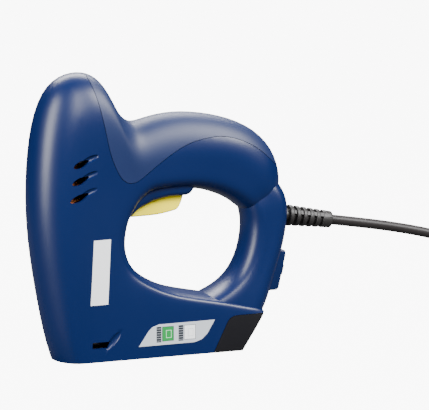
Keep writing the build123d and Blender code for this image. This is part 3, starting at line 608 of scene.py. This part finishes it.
combine(housing, bar_between("hole", along_boot(-0.02), along_boot(0.004), BOOT_HOLE_RADIUS))
print("boot hole", round(2 * BOOT_HOLE_RADIUS / MM, 1), "mm wide")


# %% Opening for the power switch
def tilt_of(low, high):
    """The turn about Y that lays an upright along the line from low to high in the side view."""
    return math.atan2(high[0] - low[0], high[1] - low[1])


def room_round(node, low, high, tilt):
    """A tilted box, given from the middle of an engineering piece's box."""
    node_low, node_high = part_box(node)
    room = block("room", low, high)
    room.rotation_euler = (0, tilt, 0)
    room.location = (node_low + node_high) / 2
    return finish_piece(room)


SWITCH_ROOM = (-0.012, -0.0052, -0.0087), (0.014, 0.0052, 0.0087)
combine(housing, room_round("power_switch", *SWITCH_ROOM, tilt_of(GUARD_LOW, GUARD_TOP)))
print("housing faces", len(housing.data.polygons))

# %% Split into the two halves
SEAM = 0.00011
left_half = copy_of(housing, "left_shell_moulded")
combine(left_half, block("far", (-3 * REACH, -SEAM, -REACH), (3 * REACH, REACH, 3 * REACH)))
right_half = housing
right_half.name = "right_shell_moulded"
combine(right_half, block("far", (-3 * REACH, -REACH, -REACH), (3 * REACH, SEAM, 3 * REACH)))
bpy.data.objects.remove(inner_form)
for piece in (left_half, right_half, grip_cover, end_cap):
    smooth(piece, 30)
    print(piece.name, "faces", len(piece.data.polygons))

# %% [markdown]
# ## The mains lead
# The lead leaves a tapered rubber boot at the back of the grip, sags under its own weight and runs
# out to the side. Its spare length is folded into a hank: two turns side by side and three layers
# high, drawn in at the middle by a strap, with the plug lying on top. One smooth curve follows it
# all: down the outer turns layer by layer, across, and up the inner turns again.

# %% Route of the free cord, in millimetres
CORD_DIAMETER = 0.007
BOOT_LENGTH = 36.4
FIRST_RUN = 23.0
boot_tip = boot_root + boot_axis * BOOT_LENGTH * MM
cord_points = [
    (boot_tip.x / MM, 0, boot_tip.z / MM),
    (boot_tip.x / MM + FIRST_RUN, 0, boot_tip.z / MM - FIRST_RUN * math.tan(BOOT_DROP)),
    (176, -0.5, 73.2),
    (203, -2.5, 67.4),
    (230, -7, 59.0),
    (256, -13, 48.0),
    (281, -19.5, 36.8),
    (306, -23.5, 28.6),
]
print("free cord points:", len(cord_points))

# %% [markdown]
# A control point pulls the curve towards itself without being reached, so the points of a round
# fold lie a little outside it. The long sides come in at the waist, where the strap holds them.

# %% Sides and folds of the hank
HANK_X, HANK_RUN, HANK_PINCH = 301.5, 110.0, 10.4
OUTER_TURN, INNER_TURN = 28.0, 21.0
LAYERS = (5.1, 12.1, 19.1)
ENTRY_LEVEL = 20.6
SIDE_STEPS = (-55.0, -28.0, 0.0, 28.0, 55.0)
FOLD_STEPS = (-60, -30, 0, 30, 60)
FOLD_PULL = 1.03


def hank_side(side, heading, radius, level_from, level_to, skip=0):
    """One long side of a turn: side is -1 or +1 in Y, heading is -1 or +1 in X."""
    out, climb = [], level_to - level_from
    for step in SIDE_STEPS[skip:]:
        waist = math.cos(math.pi * step / HANK_RUN) ** 2
        share = (step + HANK_RUN / 2) / HANK_RUN
        y = side * (radius - HANK_PINCH * waist)
        out.append((HANK_X + heading * step, y, level_from + climb * share))
    return out


def hank_fold(end, radius_from, radius_to, level):
    """One round fold at the -X or +X end: from -Y to +Y at +X, and back at -X."""
    out = []
    for angle in FOLD_STEPS:
        share = (angle + 90) / 180
        radius = (radius_from + (radius_to - radius_from) * share) * FOLD_PULL
        turn = math.radians(angle)
        x = HANK_X + end * (HANK_RUN / 2 + radius * math.cos(turn))
        out.append((x, end * radius * math.sin(turn), level))
    return out


# %% Follow the turns
low, middle, high = LAYERS
cord_points += hank_side(-1, 1, OUTER_TURN, ENTRY_LEVEL, high, skip=3)
for upper, lower in ((high, middle), (middle, low)):
    cord_points += hank_fold(1, OUTER_TURN, OUTER_TURN, upper)
    cord_points += hank_side(1, -1, OUTER_TURN, upper, lower)
    cord_points += hank_fold(-1, OUTER_TURN, OUTER_TURN, lower)
    cord_points += hank_side(-1, 1, OUTER_TURN, lower, lower)
cord_points += hank_fold(1, OUTER_TURN, INNER_TURN, low)
cord_points += hank_side(1, -1, INNER_TURN, low, low)
for lower, upper in ((low, middle), (middle, high)):
    cord_points += hank_fold(-1, INNER_TURN, INNER_TURN, lower)
    cord_points += hank_side(-1, 1, INNER_TURN, lower, upper)
    cord_points += hank_fold(1, INNER_TURN, INNER_TURN, upper)
    cord_points += hank_side(1, -1, INNER_TURN, upper, upper)
cord_points += hank_fold(-1, INNER_TURN, INNER_TURN, high)
cord_points += [
    (246.5, -21, 19.1),
    (262, -17.5, 23.4),
    (281, -10.5, 29.6),
    (300, -4, 33.6),
    (313, -1, 34.6),
    (326, 0, 34.9),
]
print("cord route points:", len(cord_points))


# %% The cord as one curve
def tube_curve(name, points, radius):
    """A round tube along a smooth quadratic curve through the control points."""
    data = bpy.data.curves.new(name, "CURVE")
    data.dimensions = "3D"
    data.bevel_depth = radius
    data.bevel_resolution = 5
    data.resolution_u = 6
    data.use_fill_caps = True
    spline = data.splines.new("NURBS")
    spline.points.add(len(points) - 1)
    for spot, point in zip(spline.points, points):
        spot.co = (point[0] * MM, point[1] * MM, point[2] * MM, 1)
    spline.order_u = 3
    spline.use_endpoint_u = True
    piece = bpy.data.objects.new(name, data)
    bpy.context.scene.collection.objects.link(piece)
    return piece


cord = tube_curve("mains_cord", cord_points, CORD_DIAMETER / 2)

# %% [markdown]
# ## The strain relief
# A moulded boot spreads the bend of the lead over its own length. It is a ladder: a slim core that
# bends easily, thick rings round it, and webs down its two sides that tie the rings together.

# %% Boot
BOOT_START, BOOT_RADIUS, BOOT_TIP_RADIUS = 4.0, 7.2, 5.7
RING_GAP, RING_WIDTH, RING_PITCH, RING_COUNT = 0.2, 3.0, 5.0, 6
WEB_ANGLE = math.radians(56)  # from the top, down either side
WEB_SIDE, WEB_BOTTOM, WEB_TOP = 0.0016, 0.0028, 0.0058


def boot_radius(distance):
    """How far the rings stand out, this far from the boot's root."""
    share = (distance - BOOT_START) / (BOOT_LENGTH - BOOT_START)
    return (BOOT_RADIUS + (BOOT_TIP_RADIUS - BOOT_RADIUS) * share) * MM


boot_end = along_boot(BOOT_LENGTH * MM)
boot = bar_between("strain_relief_moulded", along_boot(-0.003), boot_end, 0.0044, tip_radius=0.0042)
for n in range(RING_COUNT):
    start = BOOT_START + RING_GAP + RING_PITCH * n
    end = BOOT_LENGTH if n == RING_COUNT - 1 else start + RING_WIDTH
    radii = {"radius": boot_radius(start), "tip_radius": boot_radius(end)}
    ring = bar_between("ring", along_boot(start * MM), along_boot(end * MM), sides=48, **radii)
    bevel_edges(ring, 0.0006, 3, above=50)
    combine(boot, ring, "UNION")
for side in (-1, 1):
    web_low = (BOOT_START * MM, -WEB_SIDE, WEB_BOTTOM)
    web_high = ((BOOT_LENGTH - 1) * MM, WEB_SIDE, WEB_TOP)
    web = block("web", web_low, web_high, 0.0004)
    web.rotation_euler = (side * WEB_ANGLE, BOOT_DROP, 0)
    web.location = boot_root
    finish_piece(web)
    combine(boot, web, "UNION")
smooth(boot, 35)
print("boot faces", len(boot.data.polygons))

# %% [markdown]
# ## Strap and plug
# The strap is a short band of hook-and-loop tape round the waist of the hank, with its free end
# pressed down on top. The plug is the flat rubber kind: it swells from the lead to a grip with
# finger ribs, and ends in a flat face with two round pins.

# %% Strap
tie_low, tie_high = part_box("hank_tie")
TIE_THICKNESS, TIE_BEVEL, TAIL_SETBACK, TAIL_THICKNESS = 0.0012, 0.0010, 0.0006, 0.0010
strap = block("hank_strap", tie_low, tie_high, TIE_BEVEL)
core_low = (tie_low.x - 0.01, tie_low.y + TIE_THICKNESS, tie_low.z + TIE_THICKNESS)
core_high = (tie_high.x + 0.01, tie_high.y - TIE_THICKNESS, tie_high.z - TIE_THICKNESS)
combine(strap, block("core", core_low, core_high))
tail_low = (tie_low.x + TAIL_SETBACK, 0.0, tie_high.z - 0.0003)
tail_high = (tie_high.x - TAIL_SETBACK, tie_high.y - 0.0035, tie_high.z + TAIL_THICKNESS)
combine(strap, block("tail", tail_low, tail_high, 0.0005), "UNION")
smooth(strap, 40)
print("strap is", round((tie_high.x - tie_low.x) / MM, 1), "mm wide")

# %% Plug
PLUG_ROOT_X, PLUG_LEVEL = 326.0, 34.9
RIB_START, RIB_PITCH, RIB_COUNT = 22.6, 3.6, 4
RIB = [(0, 16.6, 10.9), (0.9, 15.5, 10.3), (1.8, 15.5, 10.3), (2.7, 16.8, 11.1)]
CORNER_POWER = 0.8
plug_shape = [(0, 4.6, 4.6), (0.5, 5.3, 5.3), (7, 5.6, 5.4), (11, 8.6, 7.0), (17, 13.2, 9.6)]
plug_shape += [(21, 15.4, 10.8)]
for rib in range(RIB_COUNT):
    start = RIB_START + rib * RIB_PITCH
    plug_shape += [(start + step, half_y, half_z) for step, half_y, half_z in RIB]
plug_shape += [(38.5, 17.4, 11.5), (43.2, 17.3, 11.5), (43.9, 16.9, 11.1), (44.0, 15.5, 9.8)]


def plug_loop(distance, half_y, half_z, sides=28):
    """A flattened oval across the plug."""
    out = []
    for side in range(sides):
        angle = 2 * math.pi * side / sides
        y = half_y * math.copysign(abs(math.cos(angle)) ** CORNER_POWER, math.cos(angle))
        z = half_z * math.copysign(abs(math.sin(angle)) ** CORNER_POWER, math.sin(angle))
        out.append(Vector((PLUG_ROOT_X + distance, y, PLUG_LEVEL + z)) * MM)
    return out


plug = grid_tube("plug_moulded", [plug_loop(*row) for row in plug_shape])
smooth(plug, 50)
print("plug faces", len(plug.data.polygons))

# %% [markdown]
# ## Trigger
# The trigger is one yellow moulding: a flat blade with a softly rounded finger edge. Its outline
# is a side view, run through a smooth curve, and its edges are bevelled. A small block on top
# presses the lever of the switch.

# %% Trigger
TRIGGER_HALF = 0.0079
finger_edge = [(-22.6, 97.4), (-21.2, 92.6), (-13, 92.2), (-0.6, 92.8), (8.6, 94.4)]
finger_edge += [(13, 95.8), (15.6, 99.6), (17.6, 105.5)]
trigger_outline = [(p.x, p.y) for p in rounded(finger_edge, 5)]
trigger_outline += [(15.5, 106.4), (-9, 106.4), (-15, 105.6), (-20, 104)]
trigger = outline_prism(
    "trigger_moulded", in_metres(trigger_outline), -TRIGGER_HALF, TRIGGER_HALF
)
bevel_edges(trigger, 0.0022, 5, above=60)
striker_low, striker_high = Vector((6.6, -2.4, 103.0)) * MM, Vector((10.4, 2.4, 109.8)) * MM
combine(trigger, block("striker", striker_low, striker_high, 0.0004), "UNION")
smooth(trigger, 40)
print("trigger faces", len(trigger.data.polygons))

# %% [markdown]
# ## End cap
# The cap closes the staple drawer. It is a black block with the same skin as the foot, and the
# button of its latch sits in an opening in the slanted heel.

# %% Latch opening in the cap
LATCH_ROOM = (-0.007, -0.0074, -0.0057), (0.007, 0.0074, 0.0057)
combine(end_cap, room_round("latch_button", *LATCH_ROOM, tilt_of(HEEL_LOW, HEEL_HIGH)))
bevel_edges(end_cap, 0.0004, 2, above=48)
smooth(end_cap, 30)
print("cap faces", len(end_cap.data.polygons))

# %% [markdown]
# ## Shared finishes
# Three small node groups carry the effects that many materials use. `fine_grain` is the texture a
# mould leaves. `handling` is the faint unevenness in gloss that hands leave on any surface.
# `fine_bands` draws close parallel lines: the glued staples, the wire on the coil, woven tape.


# %% Node group helpers
def new_group(name, inputs, outputs):
    """A shader node group with named sockets; each input is (name, kind, default)."""
    group = bpy.data.node_groups.new(name, "ShaderNodeTree")
    for label, kind, value in inputs:
        socket = group.interface.new_socket(
            name=label, in_out="INPUT", socket_type="NodeSocket" + kind
        )
        if value is not None:
            socket.default_value = value
    for label, kind in outputs:
        group.interface.new_socket(
            name=label, in_out="OUTPUT", socket_type="NodeSocket" + kind
        )
    return group, group.nodes.new("NodeGroupInput"), group.nodes.new("NodeGroupOutput")


def math_node(tree, operation, *values):
    """A Math node; each value is a number or a socket."""
    node = tree.nodes.new("ShaderNodeMath")
    node.operation = operation
    for socket, value in zip(node.inputs, values):
        if isinstance(value, (int, float)):
            socket.default_value = value
        else:
            tree.links.new(value, socket)
    return node.outputs[0]


def noise_node(tree, vector, scale, detail):
    """The grey value of a noise texture; the scale is a number or a socket."""
    node = tree.nodes.new("ShaderNodeTexNoise")
    node.inputs["Detail"].default_value = detail
    tree.links.new(vector, node.inputs["Vector"])
    if isinstance(scale, (int, float)):
        node.inputs["Scale"].default_value = scale
    else:
        tree.links.new(scale, node.inputs["Scale"])
    return node.outputs["Fac"]


# %% Mould grain
grain_group, given, gives = new_group(
    "fine_grain",
    [("Vector", "Vector", None), ("Scale", "Float", 2200.0)],
    [("Height", "Float")],
)
coarse = math_node(grain_group, "MULTIPLY", given.outputs["Scale"], 0.22)
fine_noise = noise_node(grain_group, given.outputs["Vector"], given.outputs["Scale"], 2.0)
coarse_noise = noise_node(grain_group, given.outputs["Vector"], coarse, 2.0)
halved = math_node(grain_group, "MULTIPLY", coarse_noise, 0.5)
summed = math_node(grain_group, "ADD", fine_noise, halved)
grain_group.links.new(summed, gives.inputs["Height"])
print("grain nodes:", len(grain_group.nodes))

# %% Marks of handling
handling_group, given, gives = new_group(
    "handling",
    [("Vector", "Vector", None), ("Roughness", "Float", 0.4), ("Amount", "Float", 0.08)],
    [("Roughness", "Float")],
)
smears = noise_node(handling_group, given.outputs["Vector"], 38.0, 4.0)
specks = noise_node(handling_group, given.outputs["Vector"], 260.0, 3.0)
faint = math_node(handling_group, "MULTIPLY", specks, 0.35)
mixed = math_node(handling_group, "ADD", faint, smears)
centred = math_node(handling_group, "SUBTRACT", mixed, 0.67)  # the mean of the mixture
swing = math_node(handling_group, "MULTIPLY", centred, given.outputs["Amount"])
marked = math_node(handling_group, "ADD", given.outputs["Roughness"], swing)
handling_group.links.new(marked, gives.inputs["Roughness"])
print("handling nodes:", len(handling_group.nodes))

# %% Parallel bands
bands_group, given, gives = new_group(
    "fine_bands",
    [("Vector", "Vector", None), ("Pitch", "Float", 0.001), ("Sharpness", "Float", 1.0)],
    [("Height", "Float")],
)
split = bands_group.nodes.new("ShaderNodeSeparateXYZ")
bands_group.links.new(given.outputs["Vector"], split.inputs[0])
turns = math_node(bands_group, "DIVIDE", split.outputs["X"], given.outputs["Pitch"])
wave = math_node(bands_group, "SINE", math_node(bands_group, "MULTIPLY", turns, math.pi))
height = math_node(bands_group, "ABSOLUTE", wave)
ridge = math_node(bands_group, "POWER", height, given.outputs["Sharpness"])
bands_group.links.new(ridge, gives.inputs["Height"])
print("groups:", [g.name for g in (grain_group, handling_group, bands_group)])


# %% Materials
def place_group(material, group, **values):
    """Puts a group into a material and sets its inputs, each to a number or a socket."""
    tree = material.node_tree
    node = tree.nodes.new("ShaderNodeGroup")
    node.node_tree = group
    for label, value in values.items():
        if isinstance(value, (int, float)):
            node.inputs[label].default_value = value
        else:
            tree.links.new(value, node.inputs[label])
    return node


def object_vector(material, turn=(0, 0, 0)):
    """Object coordinates, turned so that a pattern runs the way it should."""
    tree = material.node_tree
    place = tree.nodes.new("ShaderNodeTexCoord")
    mapping = tree.nodes.new("ShaderNodeMapping")
    mapping.inputs["Rotation"].default_value = turn
    tree.links.new(place.outputs["Object"], mapping.inputs["Vector"])
    return mapping.outputs["Vector"]


def add_bump(material, height, depth):
    """Turns a height into relief of this depth, in metres."""
    tree = material.node_tree
    bump = tree.nodes.new("ShaderNodeBump")
    bump.inputs["Distance"].default_value = depth
    bump.inputs["Strength"].default_value = 1.0
    tree.links.new(height, bump.inputs["Height"])
    tree.links.new(bump.outputs["Normal"], tree.nodes["Principled BSDF"].inputs["Normal"])


COAT_ROUGHNESS = 0.12
RIDGE_SHARPNESS = 0.6


def finish(
    name,
    colour,
    roughness,
    metallic=0.0,
    grain=None,
    depth=0.00002,
    swing=0.08,
    sheen=0.0,
    coat=0.0,
    specular=0.5,
):
    """A surface: its colour, its gloss with marks of handling, and the mould's grain."""
    material = bpy.data.materials.new(name)
    material.use_nodes = True
    tree = material.node_tree
    shader = tree.nodes["Principled BSDF"]
    shader.inputs["Base Color"].default_value = (*colour, 1)
    shader.inputs["Metallic"].default_value = metallic
    shader.inputs["Sheen Weight"].default_value = sheen
    shader.inputs["Coat Weight"].default_value = coat
    shader.inputs["Coat Roughness"].default_value = COAT_ROUGHNESS
    shader.inputs["Specular IOR Level"].default_value = specular
    vector = object_vector(material)
    marks = place_group(material, handling_group, Vector=vector, Roughness=roughness, Amount=swing)
    tree.links.new(marks.outputs["Roughness"], shader.inputs["Roughness"])
    if grain:
        grains = place_group(material, grain_group, Vector=vector, Scale=grain)
        add_bump(material, grains.outputs["Height"], depth)
    return material


def banded(name, colour, roughness, pitch, depth, turn):
    """A metal surface of close parallel ridges."""
    material = finish(name, colour, roughness, 1.0)
    vector = object_vector(material, turn)
    bands = place_group(
        material, bands_group, Vector=vector, Pitch=pitch, Sharpness=RIDGE_SHARPNESS
    )
    add_bump(material, bands.outputs["Height"], depth)
    return material


# %% One finish for each material slot
UPRIGHT = (0, math.pi / 2, 0)
ALONG = (0, 0, 0)
finishes = {
    "blue_body": finish(
        "blue_moulding",
        (0.0, 0.0070, 0.052),
        0.36,
        grain=2600,
        depth=0.000012,
        swing=0.06,
        specular=0.40,
    ),
    "blue_grip": finish(
        "blue_grip_texture", (0.0, 0.0085, 0.055), 0.50, grain=1500, depth=0.00004, swing=0.05
    ),
    "black_cap": finish(
        "black_moulding", (0.0030, 0.0028, 0.0045), 0.36, grain=2600, depth=0.000012
    ),
    "yellow_trigger": finish(
        "yellow_moulding", (1.0, 0.84, 0.02), 0.42, grain=2600, depth=0.00001, specular=0.15
    ),
    "screw_steel": finish("black_zinc", (0.10, 0.10, 0.11), 0.42, 0.9, swing=0.15),
    "plated_steel": finish("zinc_plate", (0.56, 0.57, 0.58), 0.30, 1.0, swing=0.20),
    "ground_steel": finish("ground_steel", (0.50, 0.51, 0.52), 0.24, 1.0, swing=0.15),
    "spring_steel": finish("spring_steel", (0.42, 0.42, 0.44), 0.28, 1.0),
    "staple_steel": banded("staple_strip", (0.62, 0.62, 0.64), 0.28, 0.00125, 0.00018, ALONG),
    "copper_wire": banded("wound_copper", (0.14, 0.045, 0.016), 0.36, 0.0006, 0.00012, UPRIGHT),
    "bobbin_nylon": finish("natural_nylon", (0.74, 0.71, 0.62), 0.45),
    "bumper_rubber": finish("bumper_rubber", (0.020, 0.020, 0.020), 0.75, grain=1800),
    "pusher_nylon": finish("black_nylon", (0.022, 0.022, 0.022), 0.45),
    "switch_black": finish("switch_case", (0.014, 0.014, 0.015), 0.42),
    "board_laminate": finish("board_green", (0.02, 0.15, 0.06), 0.35, coat=0.4),
    "capacitor_sleeve": finish("capacitor_sleeve", (0.01, 0.02, 0.12), 0.25),
    "sink_aluminium": finish("aluminium", (0.66, 0.66, 0.68), 0.35, 1.0),
    "terminal_nylon": finish("terminal_green", (0.05, 0.24, 0.08), 0.42),
    "rocker_black": finish("rocker_gloss", (0.010, 0.010, 0.011), 0.22, coat=0.3),
    "cord_rubber": finish(
        "cord_rubber", (0.015, 0.013, 0.013), 0.46, grain=1600, swing=0.10, specular=0.28
    ),
    "plug_rubber": finish(
        "plug_rubber", (0.010, 0.009, 0.009), 0.48, grain=1300, depth=0.00004, specular=0.28
    ),
    "pin_brass": finish("nickel_plate", (0.74, 0.71, 0.64), 0.20, 1.0),
    "lead_blue": finish("blue_wire", (0.01, 0.06, 0.45), 0.38),
    "lead_brown": finish("brown_wire", (0.12, 0.04, 0.02), 0.38),
    "lead_black": finish("black_wire", (0.012, 0.012, 0.012), 0.38),
    "white_film": finish("white_film", (0.80, 0.82, 0.84), 0.30, swing=0.04),
}
print("materials:", len(finishes))

# %% Rubber of the boot, and woven tape of the strap
boot_rubber = finish("boot_rubber", (0.012, 0.011, 0.0105), 0.50, grain=1500, depth=0.00003)
tape = finish("woven_tape", (0.018, 0.018, 0.020), 0.80, sheen=0.35)
warp = place_group(tape, bands_group, Vector=object_vector(tape), Pitch=0.0011, Sharpness=0.8)
weft_vector = object_vector(tape, (0, math.radians(35), math.pi / 2))
weft = place_group(tape, bands_group, Vector=weft_vector, Pitch=0.0013, Sharpness=0.8)
woven = math_node(tape.node_tree, "MULTIPLY", warp.outputs["Height"], weft.outputs["Height"])
add_bump(tape, woven, 0.00025)
finishes["tie_fabric"] = tape
print("materials:", len(finishes) + 1)

# %% [markdown]
# ## The staple label
# The grey film on the foot shows two loading signs: a green field and a white field, each beside a
# dark strip of staples. They are rectangles cut out of Object coordinates by one shared group, so
# the film needs no picture file.

# %% A group that marks one rectangle
field_group, given, gives = new_group(
    "upright_field",
    [
        ("Vector", "Vector", None),
        ("Centre X", "Float", 0.0),
        ("Centre Z", "Float", 0.0),
        ("Half Width", "Float", 0.003),
        ("Half Height", "Float", 0.004),
    ],
    [("Mask", "Float")],
)
split = field_group.nodes.new("ShaderNodeSeparateXYZ")
field_group.links.new(given.outputs["Vector"], split.inputs[0])
inside = []
for axis, centre, half in (("X", "Centre X", "Half Width"), ("Z", "Centre Z", "Half Height")):
    offset = math_node(field_group, "SUBTRACT", split.outputs[axis], given.outputs[centre])
    apart = math_node(field_group, "ABSOLUTE", offset)
    inside.append(math_node(field_group, "LESS_THAN", apart, given.outputs[half]))
field_group.links.new(math_node(field_group, "MULTIPLY", *inside), gives.inputs["Mask"])
print("field nodes:", len(field_group.nodes))

# %% Paint the fields on the film
GREY = (0.46, 0.49, 0.53)
GREEN, PAPER, INK = (0.01, 0.24, 0.05), (0.86, 0.88, 0.88), (0.02, 0.024, 0.03)
label_film = finish("label_film", GREY, 0.30, swing=0.04)
label_vector = object_vector(label_film)


def paint_field(under, centre_x, centre_z, half_width, half_height, colour, ink=None):
    """Lays one coloured field, in millimetres, over the colour below; ink is a mask for it."""
    tree = label_film.node_tree
    field = place_group(label_film, field_group, Vector=label_vector)
    sizes = (centre_x, centre_z, half_width, half_height)
    for label, value in zip(("Centre X", "Centre Z", "Half Width", "Half Height"), sizes):
        field.inputs[label].default_value = value * MM
    mask = field.outputs["Mask"]
    if ink is not None:
        mask = math_node(tree, "MULTIPLY", mask, ink)
    mix = tree.nodes.new("ShaderNodeMix")
    mix.data_type = "RGBA"
    tree.links.new(mask, mix.inputs["Factor"])
    if isinstance(under, tuple):
        mix.inputs["A"].default_value = under
    else:
        tree.links.new(under, mix.inputs["A"])
    mix.inputs["B"].default_value = (*colour, 1)
    return mix.outputs["Result"]


ticks_vector = object_vector(label_film, UPRIGHT)
ticks = place_group(label_film, bands_group, Vector=ticks_vector, Pitch=0.0016, Sharpness=0.5)
tick_ink = math_node(label_film.node_tree, "GREATER_THAN", ticks.outputs["Height"], 0.45)
painted = (*GREY, 1)
for centre_x, paper, sign in ((1.2, GREEN, (0.5, 0.8, 0.55)), (16.6, PAPER, (0.55, 0.58, 0.58))):
    painted = paint_field(painted, centre_x, 15.6, 4.1, 4.9, INK)
    painted = paint_field(painted, centre_x, 15.6, 3.8, 4.6, paper)
    painted = paint_field(painted, centre_x + 0.6, 15.4, 1.9, 2.6, sign)
    painted = paint_field(painted, centre_x + 0.6, 15.4, 1.6, 2.3, paper)
    painted = paint_field(painted, centre_x - 6.3, 15.4, 1.7, 5.2, INK, tick_ink)
label_shader = label_film.node_tree.nodes["Principled BSDF"]
label_film.node_tree.links.new(painted, label_shader.inputs["Base Color"])
finishes["grey_film"] = label_film
print("label fields painted")

# %% [markdown]
# ## Dressing the pieces
# Every engineering piece that keeps its own shape takes the finish of its material slot. A moulded
# piece that stands for an engineering piece rides on the same body, and the piece it replaces is
# hidden.

# %% Finish every engineering piece
for part in frame["record"]["subparts"]:
    for place in nodes[part["node"]].material_slots:
        place.material = finishes[part["material_slot"]]

# %% Ride, replace and finish the moulded pieces
moulded = [
    (left_half, "housing", "blue_body", "left_shell"),
    (right_half, "housing", "blue_body", "right_shell"),
    (grip_cover, "housing", "blue_grip", "grip_cover"),
    (end_cap, "drawer", "black_cap", "magazine_end_cap"),
    (trigger, "trigger", "yellow_trigger", "trigger"),
    (boot, "housing", "cord_rubber", "strain_relief"),
    (strap, "housing", "tie_fabric", "hank_tie"),
    (plug, "housing", "plug_rubber", "plug_body"),
]
for piece, body, finish_slot, node in moulded:
    piece.data.materials.clear()
    piece.data.materials.append(finishes[finish_slot])
    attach(piece, body)
    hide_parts(node)
boot.data.materials[0] = boot_rubber

cord.data.materials.append(finishes["cord_rubber"])
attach(cord, "housing")
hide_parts("cord", "cord_hank", "cord_plug_end")
print("dressed:", len(moulded), "moulded pieces and the cord")

# %% [markdown]
# ## Floor and light
# The studio is a wide white floor, a pale sky, and four soft boxes: a tall one by the nose that
# draws the upright highlight on the head, a narrow strip and a large box high at the front for the
# sides and the grip, and one behind that lights the top edges. The floor glows only towards the
# camera, so it looks white and yet does not veil the dark blue sides with its reflection.

# %% Floor
FLOOR_SIZE, FLOOR_GREY, FLOOR_GLOW, SKY_STRENGTH = 16, 0.07, 9.0, 0.06
bpy.ops.object.select_all(action="DESELECT")
bpy.ops.mesh.primitive_plane_add(size=FLOOR_SIZE)
floor = named_active("floor")
floor_material = bpy.data.materials.new("pale_floor")
floor_material.use_nodes = True
floor_tree = floor_material.node_tree
floor_shader = floor_tree.nodes["Principled BSDF"]
floor_shader.inputs["Base Color"].default_value = (FLOOR_GREY, FLOOR_GREY, FLOOR_GREY, 1)
floor_shader.inputs["Roughness"].default_value = 0.9
floor_shader.inputs["Specular IOR Level"].default_value = 0.0
floor_shader.inputs["Emission Color"].default_value = (1, 1, 1, 1)
seen_directly = floor_tree.nodes.new("ShaderNodeLightPath").outputs["Is Camera Ray"]
glow = math_node(floor_tree, "MULTIPLY", seen_directly, FLOOR_GLOW)
floor_tree.links.new(glow, floor_shader.inputs["Emission Strength"])
floor.data.materials.append(floor_material)
print("floor", FLOOR_SIZE, "m wide")

# %% Sky and soft boxes
world = bpy.data.worlds.new("pale_sky")
bpy.context.scene.world = world
world.use_nodes = True
sky = world.node_tree.nodes["Background"]
sky.inputs["Color"].default_value = (1.0, 1.0, 1.0, 1)
sky.inputs["Strength"].default_value = SKY_STRENGTH
AIM = Vector((0, 0, 0.1))


def soft_box(name, place, width, height, power):
    """A rectangular area light aimed at the tool."""
    bpy.ops.object.select_all(action="DESELECT")
    bpy.ops.object.light_add(type="AREA", location=place)
    lamp = bpy.context.active_object
    lamp.name = name
    lamp.data.shape = "RECTANGLE"
    lamp.data.size, lamp.data.size_y = width, height
    lamp.data.energy = power
    lamp.rotation_euler = (Vector(place) - AIM).to_track_quat("Z", "Y").to_euler()


soft_box("nose_box", (-1.00, -0.42, 0.42), 0.40, 1.1, 30)
soft_box("front_strip", (-0.10, -1.10, 0.95), 0.25, 0.9, 16)
soft_box("front_box", (0.75, -0.80, 1.05), 0.7, 0.6, 52)
soft_box("back_box", (0.15, 0.75, 1.1), 1.2, 0.5, 40)
